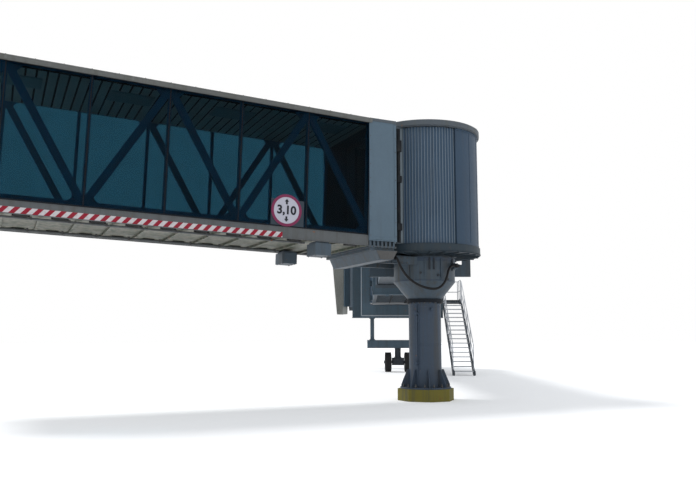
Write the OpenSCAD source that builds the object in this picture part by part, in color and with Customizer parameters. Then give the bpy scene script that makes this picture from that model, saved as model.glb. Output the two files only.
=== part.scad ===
/* [Fixed tunnel] */
// Distance from the column axis to the portal's terminal side
tunnel_end_x = 2310; // [1900:10:3200]
// Number of truss bays
bays = 6; // [2:2:8]
// Length of one truss bay
bay_l = 1573; // [1200:1:2000]
// Slope of the fixed tunnel down towards the rotunda, in degrees
tunnel_slope = 1.5; // [0:0.1:4]
// Height of the lower glass edge at the portal
glass_z = 3954; // [3700:1:4400]
// Height of the glass
glass_h = 2743; // [2300:1:3000]
// Half width between the truss centre planes
truss_y = 1221; // [1000:1:1500]
// Width of the diagonal truss bars
diagonal_w = 150; // [80:5:220]
// Width of the truss posts
post_w = 70; // [50:5:120]
// Thickness of the truss bars across the tunnel
truss_t = 80; // [40:5:120]
// Height of the trusses' bottom chords
chord_h = 120; // [80:5:180]
// Height of the trusses' top chords
top_chord_h = 60; // [50:5:100]
// Height of the edge beams under the glass
edge_h = 240; // [200:5:320]
// Thickness of the tunnel's roof
roof_t = 52; // [40:1:120]
// Depth of the roof's turned-down edges below the roof
fascia_drop = 53; // [20:1:80]
// Thickness of the glass
glass_t = 12; // [6:1:30]
// Spacing of the floor joists
joist_pitch = 700; // [400:10:1000]
// Outside diameter of the round height sign
sign_d = 720; // [400:10:1000]

/* [Portal and jambs] */
// Distance from the column axis to the portal's rotunda side
portal_x = 1570; // [1490:1:1800]
// Outer half width of the portal
portal_y = 1330; // [1310:1:1500]
// Height of the portal's underside
portal_z = 3830; // [3780:1:3860]
// Thickness of the portal's walls
portal_t = 60; // [30:5:100]
// Half width of the opening into the rotunda
jamb_y = 780; // [600:5:850]
// Thickness of the jamb plates
jamb_t = 40; // [20:2:60]

/* [Rotunda] */
// Outer radius of the turning side panels
drum_r = 1420; // [1350:1:1440]
// Thickness of the turning side panels
drum_t = 25; // [15:1:40]
// Radius of the floor disc
floor_r = 1440; // [1430:1:1480]
// Height of the underside of the floor disc
floor_z = 3670; // [3600:1:3750]
// Thickness of the floor disc
floor_t = 200; // [150:5:210]
// Radius of the roof disc
roof_r = 1480; // [1450:1:1490]
// Height of the underside of the roof disc
drum_top = 6800; // [6795:1:7000]
// Thickness of the roof disc
roof_disc_t = 160; // [100:5:220]
// Thickness of the curtain behind its ribs
slat_t = 15; // [10:1:30]
// Radius of one curtain rib
rib_r = 22; // [10:1:24]
// Angle from rib to rib, in degrees
rib_step = 3.15; // [2.5:0.05:6]
// Direction of the telescoping tunnels from +X, in degrees
swing = 63; // [10:1:85]

/* [Column] */
// Outside diameter of the column pipe
column_d = 830; // [600:10:1000]
// Height of the ring flange's underside
flange_z = 2480; // [2200:10:2700]
// Radius of the ring flange
flange_r = 460; // [430:5:600]
// Thickness of the ring flange
flange_t = 80; // [40:5:120]
// Radius of the column head
head_r = 790; // [650:5:840]
// Height of the top of the head's cone
cone_top = 3000; // [2800:10:3300]
// Height of the top of the column head
head_top = 3620; // [3500:5:3640]
// Width of the octagonal plinth across its flats
plinth_w = 1340; // [1310:10:1800]
// Height of the plinth
plinth_h = 300; // [200:10:500]
// Radius of the base plate
base_r = 650; // [550:5:700]
// Thickness of the base plate
base_t = 40; // [20:5:60]
// Height of the base gussets
gusset_h = 440; // [200:10:600]
// Number of base gussets
gussets = 8; // [4:1:12]

/* [Telescoping tunnels] */
// Slope of the telescoping tunnels down towards the cab, in degrees
tilt = 1.8; // [0:0.1:3]
// Distance from the rotunda axis to the tunnel hinge
hinge_r = 1500; // [1490:5:1600]
// Height of the tunnel hinge
hinge_z = 3680; // [3660:5:3690]
// Diameter of the hinge pins
hinge_d = 80; // [50:5:100]
// Length of tunnel A
a_len = 9150; // [7000:10:10000]
// Outer half width of tunnel A
a_y = 1030; // [900:5:1040]
// Height of the top of tunnel A's floor, before the tilt
a_floor_z = 3850; // [3840:1:3860]
// Thickness of tunnel A's floor
a_floor_t = 100; // [60:5:110]
// Height of the top of tunnel A, before the tilt
a_top = 6250; // [6000:10:6260]
// Thickness of tunnel A's walls and roof
a_wall = 50; // [30:5:80]
// Distance from the rotunda axis to the start of tunnel B
b_start = 8000; // [7000:10:9000]
// Distance from the rotunda axis to the end of tunnel B's walls
b_end = 16840; // [16500:10:16850]
// Thickness of tunnel B's walls and roof
b_wall = 70; // [40:5:100]
// Thickness of tunnel B's floor
b_floor_t = 120; // [80:5:150]
// Gap between tunnel A and tunnel B
slide_gap = 40; // [15:1:50]
// Depth of tunnel B's rear frame below its floor
rear_drop = 250; // [100:10:300]

/* [Lift and bogie] */
// Distance from tunnel B's end back to the lift frame
lift_back = 1740; // [1640:10:2300]
// Half distance between the lift columns
lift_y = 1500; // [1480:10:1800]
// Width of a lift column
lift_w = 480; // [300:10:500]
// Height of the underside of the lift frame
lift_z = 2480; // [2200:10:2600]
// Height of the lift frame's cross beam
lift_beam_h = 600; // [300:10:610]
// Height of the top of the lift columns
lift_top = 5100; // [4600:10:5400]
// Width of the jack cover beside each lift column
jack_w = 360; // [200:10:360]
// Half distance between the two legs
leg_y = 1180; // [700:10:1300]
// Width of a leg
leg_w = 180; // [150:10:350]
// Height of the top of the bogie beam
bogie_top = 1460; // [1300:10:1500]
// Height of the bogie beam
bogie_h = 370; // [300:10:400]
// Half length of the bogie beam
bogie_y = 1400; // [1200:10:1500]
// Diameter of a wheel
wheel_d = 900; // [700:10:920]
// Width of a wheel
wheel_w = 300; // [200:10:360]
// Half distance between the wheels
wheel_y = 450; // [380:10:600]
// Diameter of the axle
axle_d = 120; // [80:5:160]

/* [Cab] */
// Distance from tunnel B's end to the cab's turning axis
cab_ahead = 860; // [860:10:960]
// Turn of the cab to the left of the tunnel, in degrees
cab_turn = 35; // [0:1:60]
// Radius of the cab's round part
cab_drum_r = 1500; // [1480:5:1520]
// Length of the cab ahead of its turning axis
cab_front = 2500; // [2200:10:2800]
// Half width of the cab's front part
cab_y = 1100; // [1000:10:1150]
// Thickness of the cab's walls
cab_wall = 50; // [30:5:70]
// Depth of the folded canopy
canopy_l = 550; // [300:10:700]
// How far the canopy's top reaches ahead of its foot
canopy_lean = 550; // [0:10:700]
// Half width of the canopy
canopy_y = 1500; // [1300:10:1600]

/* [Service stair] */
// Distance from the tunnel axis to the stair's near side
stair_y = 2130; // [2110:10:2400]
// Width of the stair
stair_w = 900; // [700:10:1000]
// Distance from the rotunda axis to the stair's foot
stair_foot = 11700; // [11400:10:12000]
// Number of treads
treads = 16; // [14:1:18]
// Height of the handrails
rail_h = 1000; // [900:10:1200]
// Length of the landing along the tunnel
landing_l = 1150; // [900:10:1200]

/* [Hidden] */
$fn = 48;
fit = 0.3;
run_gap = 10;

// Sizes of the fixed tunnel
tunnel_l = bays * bay_l;
glass_y = truss_y + truss_t / 2;
edge_t = 100;
edge_y = glass_y + glass_t + 30;
deck_t = 60;
deck_z = -chord_h;
ceiling_t = 25;
ceiling_drop = 58;
fascia_t = 30;
soffit_t = 12;
soffit_z = -190;
joist_w = 60;
strip_t = 4;
strip_h = edge_h / 2;
overhang = 60;
end_frame_l = 150;
end_frame_t = 90;
pane_gap = 6;
sign_t = 10;
sign_back_t = 10;
sign_back_h = 620;
sign_s = 2050;
sign_z = 375;
strip_end = 2130;
hanger_s = 1135;
hanger_size = [390, 500, 315];
saddle_h = 210;
saddle_lip = 40;
tub_h = 230;
bracket_y = 560;
bracket_t = 30;
portal_top = drum_top - 30;
round_fn = 240;

// Sizes of the rotunda
base_z = plinth_h + fit;
slat_out = drum_r - drum_t - run_gap - rib_r;
slat_in = slat_out - slat_t;
floor_top = floor_z + floor_t;
seat_r = 700;
near_slat_end = -60;
far_slat_end = swing + 50.5;
near_panel_end = -87;
far_panel_end = 117;
hood_y = a_y + 30;
hood_t = 50;
hood_top = a_top + 60;
hood_end = hinge_r + 300;
mouth_edge = 70;
mouth_t = 80;
yoke_y = 1420;
yoke_post_y = 1190;
yoke_post_top = 3950;
yoke_z = 3280;
yoke_l = 120;
lug_t = 60;
lug_y = 760;
lug_w = 130;
lug_gap = 5;
arm_y = 360;
arm_w = 120;

// Sizes of the telescoping tunnels
a_start = hinge_r - 50;
a_end = a_start + a_len;
a_bottom = a_floor_z - a_floor_t;
b_inner_y = a_y + slide_gap;
b_y = b_inner_y + b_wall;
b_floor_z = a_bottom - 20;
b_bottom = b_floor_z - b_floor_t;
b_top = a_top + slide_gap + b_wall;
rear_l = 200;
pad_l = 160;
pad_w = 100;
pad_y = 900;
rear_t = 110;
lift_r = b_end - lift_back;
lift_arms = [800, 1500];
lift_arm_h = 250;
door_r = lift_r + lift_w / 2 + 260;
door_l = 850;
door_h = 2000;
door_sill = 20;

// Sizes of the cab
cab_r = b_end + cab_ahead;
cab_floor_t = 40;
cab_floor_top = b_floor_z - 10;
cab_floor_z = cab_floor_top - cab_floor_t;
cab_in = cab_drum_r - 25;
cab_slat_out = cab_in - run_gap - rib_r;
cab_slat_in = cab_slat_out - slat_t;
cab_top = b_top + 10;
platform_t = 160;
left_slat_end = cab_turn + 47.5;
right_slat_end = -60;
right_panel_w = 49;

// Sizes of the bogie and the stair
pivot_d = 160;
landing_r = lift_r + lift_w / 2 + 110;
landing_z = 3270;
stair_pin_r = landing_r - 100;
stair_pin_z = landing_z - 100;
stair_pin_d = 60;
stair_gap = 40;
stringer_t = 40;
rail_d = 38;

// Route and thickness of the hanging cable
cable_d = 60;
cable_sides = 8;
cable_points = [
  [-1240, -655, 3550], [-1240, -690, 3550], [-1225, -725, 3520], [-1190, -735, 3430],
  [-1130, -740, 3300], [-1040, -745, 3170], [-930, -750, 3050], [-800, -770, 2950],
  [-660, -810, 2870], [-510, -850, 2815], [-360, -885, 2785], [-220, -910, 2785],
  [-110, -925, 2830], [-20, -935, 2910], [50, -935, 3010], [100, -925, 3120],
  [135, -915, 3230], [185, -900, 3320], [250, -880, 3375], [320, -865, 3390],
  [370, -860, 3390], [400, -860, 3390]];
cable_start = cable_points[0];
cable_end = cable_points[len(cable_points) - 1];
gland_w = 80;

// Places a piece in the sloping frame of the fixed tunnel
module sloped() {
  translate([-tunnel_end_x, 0, glass_z])
    rotate([0, tunnel_slope, 0]) children();
}

// Places a piece in the frame of the telescoping tunnels
module swung() {
  rotate([0, 0, swing]) children();
}

module tilted() {
  swung() translate([hinge_r, 0, hinge_z]) rotate([0, tilt, 0])
    translate([-hinge_r, 0, -hinge_z]) children();
}

module in_cab() {
  tilted() translate([cab_r, 0, 0]) rotate([0, 0, cab_turn]) children();
}

// Flat sector of a disc between two angles, up to 170 degrees wide
module wedge(r, a0, a1) {
  am = (a0 + a1) / 2;
  q = r / cos((a1 - a0) / 4) * 1.1;
  polygon([[0, 0], [q * cos(a0), q * sin(a0)],
    [q * cos((a0 + am) / 2), q * sin((a0 + am) / 2)],
    [q * cos(am), q * sin(am)],
    [q * cos((a1 + am) / 2), q * sin((a1 + am) / 2)],
    [q * cos(a1), q * sin(a1)]]);
}

module ring_2d(r_out, r_in) {
  difference() {
    circle(r = r_out, $fn = round_fn);
    circle(r = r_in, $fn = round_fn);
  }
}

// Curved panel between two angles
module arc_panel(r_out, r_in, a0, a1, z0, z1) {
  translate([0, 0, z0]) linear_extrude(z1 - z0)
    intersection() {
      ring_2d(r_out, r_in);
      wedge(r_out, a0, a1);
    }
}

// Curtain of upright slats, each with a rounded rib outside
module slat_curtain(r_out, r_in, rib, step, a0, a1, z0, z1) {
  n = floor((a1 - a0) / step);
  translate([0, 0, z0]) linear_extrude(z1 - z0)
    intersection() {
      union() {
        ring_2d(r_out, r_in);
        for (i = [0 : n])
          rotate([0, 0, a0 + (i + 0.5) * step])
            translate([r_out - rib * 0.1, 0]) circle(r = rib, $fn = 16);
      }
      wedge(r_out + rib, a0, a1);
    }
}

module box(x0, x1, y0, y1, z0, z1) {
  translate([x0, y0, z0]) cube([x1 - x0, y1 - y0, z1 - z0]);
}

// Bar of one truss side from (x0, z0) to (x1, z1), as a flat shape
module truss_bar(x0, z0, x1, z1, w) {
  l = sqrt((x1 - x0) * (x1 - x0) + (z1 - z0) * (z1 - z0));
  translate([x0, z0]) rotate(atan2(z1 - z0, x1 - x0))
    translate([0, -w / 2]) square([l, w]);
}

// Chords, posts and diagonals of one truss, cut from one thickness
module truss_side() {
  z0 = chord_h / 2;
  z1 = glass_h - top_chord_h / 2;
  rotate([90, 0, 0]) linear_extrude(truss_t, center = true)
    intersection() {
      union() {
        translate([-tunnel_l, 0]) square([tunnel_l, chord_h]);
        translate([-tunnel_l, glass_h - top_chord_h]) square([tunnel_l, top_chord_h]);
        for (k = [0 : bays])
          translate([-k * bay_l - (k == 0 ? post_w : (k == bays ? 0 : post_w / 2)), 0])
            square([post_w, glass_h]);
        for (k = [0 : bays - 1])
          truss_bar(-k * bay_l, k % 2 == 0 ? z0 : z1,
            -(k + 1) * bay_l, k % 2 == 0 ? z1 : z0, diagonal_w);
      }
      translate([-tunnel_l, 0]) square([tunnel_l, glass_h]);
    }
}

module near_truss() {
  color("#26303c") sloped() translate([0, -truss_y, 0]) truss_side();
}

module far_truss() {
  color("#26303c") sloped() translate([0, truss_y, 0]) truss_side();
}

module glass_panes(y) {
  for (k = [0 : bays - 1])
    box(-(k + 1) * bay_l + pane_gap / 2, -k * bay_l - pane_gap / 2,
      y, y + glass_t, 0, glass_h);
}

module near_glass() {
  color("#2c6b7c", 0.5) sloped() glass_panes(-glass_y - glass_t);
}

module far_glass() {
  color("#2c6b7c", 0.5) sloped() glass_panes(glass_y);
}

module edge_beams() {
  color("#6b6c70") sloped() {
    box(-tunnel_l, 0, -edge_y, -edge_y + edge_t, -edge_h, 0);
    box(-tunnel_l, 0, edge_y - edge_t, edge_y, -edge_h, 0);
  }
}

module warning_strip() {
  color("#b8262f") sloped()
    box(-tunnel_l, -strip_end, -edge_y - strip_t, -edge_y, -edge_h, -edge_h + strip_h);
}

module tunnel_deck() {
  color("#8a8578") sloped()
    box(-tunnel_l, 0, -edge_y + edge_t, edge_y - edge_t, deck_z, deck_z + deck_t);
}

module tunnel_soffit() {
  n = floor((tunnel_l - joist_w) / joist_pitch);
  color("#a89d88") sloped() {
    box(-tunnel_l, 0, -edge_y + edge_t, edge_y - edge_t, soffit_z, soffit_z + soffit_t);
    for (i = [0 : n])
      box(-joist_w - i * joist_pitch, -i * joist_pitch,
        -edge_y + edge_t, edge_y - edge_t, -edge_h, soffit_z);
    for (y = [-1, 1])
      box(-tunnel_l, 0, y * 500 - 30, y * 500 + 30, soffit_z + soffit_t, deck_z);
  }
}

module tunnel_roof() {
  y = edge_y + overhang;
  color("#b9b5a8") sloped() translate([-tunnel_l, 0, glass_h])
    rotate([90, 0, 90]) linear_extrude(tunnel_l)
      polygon([[-y, -fascia_drop], [-y + fascia_t, -fascia_drop], [-y + fascia_t, 0],
        [y - fascia_t, 0], [y - fascia_t, -fascia_drop], [y, -fascia_drop],
        [y, roof_t], [-y, roof_t]]);
}

module tunnel_ceiling() {
  y = truss_y - truss_t / 2;
  z = glass_h - ceiling_drop - ceiling_t;
  color("#3a3f45") sloped() {
    box(-tunnel_l, 0, -y, y, z, z + ceiling_t);
    for (s = [-1, 1])
      box(-tunnel_l, 0, s * 600 - 25, s * 600 + 25, z + ceiling_t, glass_h);
  }
}

module terminal_frame() {
  y = edge_y + overhang;
  color("#8d9094") sloped() translate([-tunnel_l - end_frame_l, 0, 0])
    difference() {
      box(0, end_frame_l, -y, y, -edge_h, glass_h + roof_t);
      box(-1, end_frame_l + 1, -truss_y + end_frame_t, truss_y - end_frame_t,
        deck_z + deck_t, glass_h - ceiling_drop - ceiling_t);
    }
}

module height_sign() {
  y = -glass_y - glass_t - sign_back_t;
  color("#e8e8e8") sloped() {
    box(-sign_s - sign_d / 2, -sign_s + sign_d / 2 + 60, y, y + sign_back_t, 0, sign_back_h);
    translate([-sign_s, y, sign_z]) rotate([90, 0, 0])
      cylinder(d = sign_d, h = sign_t, $fn = 64);
  }
}

module portal() {
  x0 = -tunnel_end_x - 20;
  x1 = -portal_x;
  y = portal_y - portal_t;
  color("#a5a7a8") difference() {
    box(x0, x1, -portal_y, portal_y, portal_z, portal_top);
    box(x0 - 1, x1 - portal_t, -y, y, portal_z + portal_t, portal_top - portal_t);
    box(x1 - portal_t - 1, x1 + 1, -jamb_y, jamb_y, portal_z + portal_t,
      drum_top - 200);
    sloped() box(-500, 0, -portal_y - 5, portal_y + 5, -portal_z, portal_top);
  }
}

module jambs() {
  x0 = -portal_x;
  x1 = -slat_in + 330;
  z0 = floor_top + 10;
  z1 = drum_top - 10;
  color("#b4b6b6") {
    for (s = [-1, 1])
      box(x0, x1, s > 0 ? jamb_y : -jamb_y - jamb_t, s > 0 ? jamb_y + jamb_t : -jamb_y, z0, z1);
    box(x0, x1, -jamb_y, jamb_y, z1 - 190, z1 - 150);
    box(x0, -floor_r + 360, -jamb_y, jamb_y, z0 - 4, z0 + 6);
  }
}

module near_curtain() {
  color("#8d9aa3") difference() {
    slat_curtain(slat_out, slat_in, rib_r, rib_step, -150, near_slat_end,
      floor_top + 10, drum_top - 10);
    box(-2000, 0, -jamb_y - jamb_t, 0, floor_z, drum_top + 10);
  }
}

module far_curtain() {
  color("#8d9aa3") difference() {
    slat_curtain(slat_out, slat_in, rib_r, rib_step, far_slat_end, 150,
      floor_top + 10, drum_top - 10);
    box(-2000, 0, 0, jamb_y + jamb_t, floor_z, drum_top + 10);
  }
}

module plinth() {
  color("#c9a227") rotate([0, 0, 22.5])
    cylinder(h = plinth_h, r = plinth_w / 2 / cos(22.5), $fn = 8);
}

module column_base() {
  color("#7d858c") {
    translate([0, 0, base_z]) cylinder(h = base_t, r = base_r);
    for (i = [0 : gussets - 1])
      rotate([0, 0, (i + 0.5) * 360 / gussets]) translate([column_d / 2 - 2, 10, base_z + base_t])
        rotate([90, 0, 0]) linear_extrude(20)
          polygon([[0, 0], [base_r - column_d / 2 - 20, 0],
            [base_r - column_d / 2 - 20, 60], [60, gusset_h], [0, gusset_h]]);
  }
}

module column() {
  color("#7d858c") {
    difference() {
      translate([0, 0, base_z + base_t])
        cylinder(h = flange_z - base_z - base_t, d = column_d);
      for (i = [0 : gussets - 1])
        rotate([0, 0, (i + 0.5) * 360 / gussets])
          translate([column_d / 2 - 2, -10, base_z + base_t]) cube([20, 20, gusset_h]);
    }
    translate([0, 0, flange_z]) cylinder(h = flange_t, r = flange_r);
  }
}

module column_head() {
  z0 = flange_z + flange_t;
  z1 = floor_z - fit;
  color("#8a9299") {
    rotate_extrude($fn = 128) polygon([[0, z0], [flange_r - 30, z0], [head_r, cone_top],
      [head_r, head_top], [seat_r, head_top], [seat_r, z1], [0, z1]]);
    for (a = [-150 : 30 : -90])
      rotate([0, 0, a]) box(head_r - 5, head_r + 35, -12, 12, cone_top + 60, head_top - 60);
    box(cable_end[0] - 10, cable_end[0] + 100, cable_end[1] + gland_w / 2, 190 - head_r,
      cable_end[2] - 70, cable_end[2] + 70);
  }
}

module portal_bracket() {
  z1 = portal_z - saddle_h;
  x0 = -tunnel_end_x + 190;
  x1 = -portal_x + 30;
  y = portal_y - 30;
  color("#9a9ea1") {
    // Trough-shaped cross beam under the portal
    translate([0, y, 0]) rotate([90, 0, 0]) linear_extrude(2 * y)
      polygon([[x0, z1], [x0 + 110, z1 - tub_h], [x1 - 120, z1 - tub_h + 20], [x1, z1]]);
    // Saddle between the cross beam and the portal
    box(x0 - 130, x1 - 60, -y + 60, y - 60, z1 - 5, portal_z);
    box(x0 - 180, x1 - 30, -y, y, z1 + 60, z1 + 60 + saddle_lip);
    for (s = [-1, 1])
      for (i = [0 : 6])
        box(x0 - 170 + i * 105, x0 - 120 + i * 105, s > 0 ? y - 70 : -y,
          s > 0 ? y : -y + 70, z1 + 60, portal_z);
    // Side plates from the cross beam to the column head
    difference() {
      union() {
        for (s = [-1, 1])
          box(x1 - 150, -500, s * bracket_y - bracket_t / 2, s * bracket_y + bracket_t / 2,
            z1 - 220, z1 - 20);
        box(x1 - 150, -500, -bracket_y, bracket_y, z1 - 60, z1 - 30);
      }
      cylinder(h = z1, r = head_r + fit, $fn = round_fn);
    }
    // Hangers under the edge beams
    sloped()
      for (s = [-1, 1]) {
        box(-hanger_s - hanger_size[0] / 2, -hanger_s + hanger_size[0] / 2,
          s > 0 ? edge_y - 10 - hanger_size[1] : -edge_y + 10,
          s > 0 ? edge_y - 10 : -edge_y + 10 + hanger_size[1],
          -edge_h - hanger_size[2], -edge_h - 40);
        box(-hanger_s - hanger_size[0] / 2 + 40, -hanger_s + hanger_size[0] / 2 - 40,
          s > 0 ? edge_y + 30 - hanger_size[1] : -edge_y + 50,
          s > 0 ? edge_y - 50 : -edge_y - 30 + hanger_size[1],
          -edge_h - 45, -edge_h);
      }
  }
}

module rotunda_floor() {
  color("#7f8890") {
    translate([0, 0, floor_z]) cylinder(h = floor_t, r = floor_r, $fn = round_fn);
    swung() box(900, hinge_r - mouth_edge, -hood_y - hood_t, hood_y + hood_t,
      floor_top - mouth_t, floor_top);
  }
}

module rotunda_roof() {
  color("#b9b5a8") translate([0, 0, drum_top]) {
    rotate_extrude($fn = round_fn) polygon([[0, 0], [roof_r - 20, 0], [roof_r, 20],
      [roof_r, roof_disc_t - 40], [roof_r - 40, roof_disc_t], [0, roof_disc_t + 25]]);
  }
}

module rotunda_shell() {
  r_in = drum_r - drum_t;
  y = hood_y + hood_t;
  color("#8d9aa3") {
    difference() {
      translate([0, 0, floor_top]) linear_extrude(drum_top - floor_top)
        difference() {
          rotate(180) ring_2d(drum_r, r_in);
          wedge(drum_r, far_panel_end, near_panel_end + 360);
        }
      swung() box(0, 2000, -hood_y - 5, hood_y + 5, floor_z, hood_top + 5);
    }
    swung() difference() {
      box(800, hood_end, -y, y, floor_top + 5, hood_top + hood_t);
      box(799, hood_end + 1, -hood_y, hood_y, floor_top - 1, hood_top);
      translate([0, 0, floor_top - 1])
        cylinder(h = 3000, r = drum_r - drum_t / 2, $fn = round_fn);
    }
  }
}

module hinge_yoke() {
  r0 = hinge_r - yoke_l / 2;
  color("#56616b") swung() {
    difference() {
      translate([r0, 0, yoke_z]) rotate([90, 0, 90]) linear_extrude(yoke_l) {
        translate([-yoke_y, 0]) square([2 * yoke_y, floor_z - 50 - yoke_z]);
        for (s = [-1, 1]) {
          translate([s > 0 ? yoke_post_y : -yoke_y, 0])
            square([yoke_y - yoke_post_y, yoke_post_top - yoke_z]);
          for (q = [-1, 1])
            translate([s * lug_y + q * (lug_t + lug_gap) - lug_t / 2, 0])
              square([lug_t, hinge_z + 60 - yoke_z]);
        }
      }
      for (s = [-1, 1])
        translate([hinge_r, s * lug_y, hinge_z]) rotate([90, 0, 0])
          cylinder(h = 400, d = hinge_d + 2 * fit, center = true);
    }
    for (s = [-1, 1])
      box(900, r0, s * arm_y - arm_w / 2, s * arm_y + arm_w / 2, yoke_z, floor_z - fit);
  }
}

module tunnel_a_floor() {
  color("#747c84") tilted() {
    box(a_start, a_end, -a_y, a_y, a_bottom, a_floor_z);
    for (s = [-1, 1]) {
      box(hinge_r - hinge_d / 2 - 5, hinge_r + hinge_d / 2 + 5,
        s * lug_y - lug_t / 2, s * lug_y + lug_t / 2, hinge_z - hinge_d / 2 - 5, a_bottom);
      translate([hinge_r, s * lug_y, hinge_z]) rotate([90, 0, 0])
        cylinder(h = 3 * lug_t + 2 * lug_gap + 20, d = hinge_d, center = true);
      box(a_end - 20 - pad_l, a_end - 20, s * pad_y - pad_w / 2, s * pad_y + pad_w / 2,
        b_floor_z + fit, a_bottom);
    }
  }
}

module tunnel_a_walls() {
  color("#8f979d") tilted()
    for (s = [-1, 1])
      box(a_start, a_end, s > 0 ? a_y - a_wall : -a_y, s > 0 ? a_y : -a_y + a_wall,
        a_floor_z, a_top - a_wall);
}

module tunnel_a_roof() {
  color("#a8adb0") tilted() box(a_start, a_end, -a_y, a_y, a_top - a_wall, a_top);
}

module tunnel_b_floor() {
  z = cab_floor_z - fit;
  color("#6c747c") tilted() {
    difference() {
      union() {
        box(b_start, cab_r - 900, -b_y, b_y, b_bottom, b_floor_z);
        translate([cab_r, 0, z - platform_t])
          cylinder(h = platform_t, r = cab_drum_r, $fn = round_fn);
      }
      translate([cab_r, 0, z]) cylinder(h = 400, r = cab_drum_r + 8, $fn = round_fn);
    }
    for (s = [-1, 1])
      box(b_start + 20, b_start + 20 + pad_l, s * (pad_y - pad_w - 20) - pad_w / 2,
        s * (pad_y - pad_w - 20) + pad_w / 2, b_floor_z, a_bottom - fit);
  }
}

module tunnel_b_walls() {
  color("#98a0a6") tilted()
    difference() {
      for (s = [-1, 1])
        box(b_start, b_end, s > 0 ? b_inner_y : -b_y, s > 0 ? b_y : -b_inner_y,
          b_floor_z, b_top - b_wall);
      box(door_r, door_r + door_l, -b_y - 1, -b_inner_y + 1, b_floor_z + door_sill,
        b_floor_z + door_sill + door_h);
    }
}

module tunnel_b_roof() {
  color("#a8adb0") tilted() box(b_start, b_end, -b_y, b_y, b_top - b_wall, b_top);
}

module tunnel_b_rear_frame() {
  y = b_y + rear_t;
  color("#5f6a74") tilted() difference() {
    box(b_start, b_start + rear_l, -y, y, b_bottom - rear_drop, b_top + rear_t);
    box(b_start - 1, b_start + rear_l + 1, -b_y, b_y, b_bottom, b_top);
  }
}

module service_door() {
  color("#c2c6c8") tilted()
    box(door_r, door_r + door_l, -b_y + 10, -b_inner_y - 10, b_floor_z + door_sill,
      b_floor_z + door_sill + door_h);
}

module cab_curtain() {
  color("#8d9aa3") tilted() translate([cab_r, 0, 0]) difference() {
    union() {
      slat_curtain(cab_slat_out, cab_slat_in, rib_r, rib_step, left_slat_end, 140,
        b_floor_z + 10, cab_top - 10);
      slat_curtain(cab_slat_out, cab_slat_in, rib_r, rib_step, -140, right_slat_end,
        b_floor_z + 10, cab_top - 10);
    }
    box(-2000, 0, -b_y, b_y, b_bottom, cab_top + 10);
  }
}

module lift_brackets() {
  color("#56616b") swung()
    for (s = [-1, 1])
      for (z = lift_arms)
        box(lift_r - 180, lift_r + 180,
          s > 0 ? b_y + fit : -lift_y + lift_w / 2 + fit,
          s > 0 ? lift_y - lift_w / 2 - fit : -b_y - fit,
          lift_z + z, lift_z + z + lift_arm_h);
}

module lift_frame() {
  y = lift_y + lift_w / 2;
  r0 = lift_r - lift_w / 2;
  color("#5c6b78") swung() {
    difference() {
      box(r0, r0 + lift_w, -y, y, lift_z, lift_top);
      box(r0 - 1, r0 + lift_w + 1, -y + lift_w, y - lift_w,
        lift_z + lift_beam_h, lift_top + 1);
    }
  }
}

module jack_covers() {
  y = lift_y + lift_w / 2;
  color("#4d5b68") swung()
    for (s = [-1, 1])
      box(lift_r - lift_w / 2 + 60, lift_r + lift_w / 2 - 60, s > 0 ? y : -y - jack_w,
        s > 0 ? y + jack_w : -y, lift_z, lift_top - 200);
}

module lift_legs() {
  color("#5c6b78") swung() difference() {
    union() {
      for (s = [-1, 1])
        translate([lift_r, s * leg_y, (lift_z + bogie_top) / 2])
          cube([leg_w, leg_w, lift_z - bogie_top], center = true);
      box(lift_r - 220, lift_r + 220, -bogie_y, bogie_y, bogie_top - bogie_h, bogie_top);
    }
    translate([lift_r, 0, bogie_top - bogie_h - 1])
      cylinder(h = 251, d = pivot_d + 2 * fit);
  }
}

module bogie() {
  y = wheel_y - wheel_w / 2 - 30;
  z = wheel_d / 2;
  color("#3f474f") swung() translate([lift_r, 0, 0]) {
    box(-170, 170, -y, y, z - 140, z + 200);
    translate([0, 0, z + 200])
      cylinder(h = bogie_top - bogie_h - z - 200 - fit, d = pivot_d + 120);
    translate([0, 0, z + 200])
      cylinder(h = bogie_top - bogie_h - z, d = pivot_d);
    translate([0, 0, z]) rotate([90, 0, 0])
      cylinder(h = 2 * wheel_y + wheel_w + 60, d = axle_d, center = true);
  }
}

module wheel(y) {
  w = wheel_w / 2;
  r = wheel_d / 2;
  color("#1c1c1e") swung() translate([lift_r, y, r]) rotate([90, 0, 0])
    rotate_extrude($fn = 64) polygon([[axle_d / 2 + fit, -w + 30], [r * 0.5, -w + 50],
      [r * 0.56, -w + 10], [r - 70, -w], [r - 25, -w + 20], [r, -w + 60],
      [r, w - 60], [r - 25, w - 20], [r - 70, w], [r * 0.56, w - 10],
      [r * 0.5, w - 50], [axle_d / 2 + fit, w - 30]]);
}

module wheel_left() {
  wheel(wheel_y);
}

module wheel_right() {
  wheel(-wheel_y);
}

module cab_floor() {
  color("#747c84") in_cab() {
    translate([0, 0, cab_floor_z]) cylinder(h = cab_floor_t, r = cab_drum_r, $fn = round_fn);
    box(0, cab_front, -cab_y, cab_y, cab_floor_z, cab_floor_top);
    box(cab_drum_r + 30, cab_front, -cab_y, cab_y, cab_floor_z - 160, cab_floor_z);
  }
}

module cab_walls() {
  x0 = sqrt(cab_in * cab_in - (cab_y - cab_wall) * (cab_y - cab_wall)) + 8;
  color("#a4a9ac") in_cab()
    for (s = [-1, 1])
      box(x0, cab_front, s > 0 ? cab_y - cab_wall : -cab_y,
        s > 0 ? cab_y : -cab_y + cab_wall, cab_floor_top, cab_top);
}

module cab_panel() {
  a = -asin(cab_y / cab_drum_r);
  color("#8d9aa3") in_cab() difference() {
    arc_panel(cab_drum_r, cab_in, a - right_panel_w, a + 10, cab_floor_top, cab_top);
    box(0, 2000, -cab_y, 0, cab_floor_z, cab_top + 1);
  }
}

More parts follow.
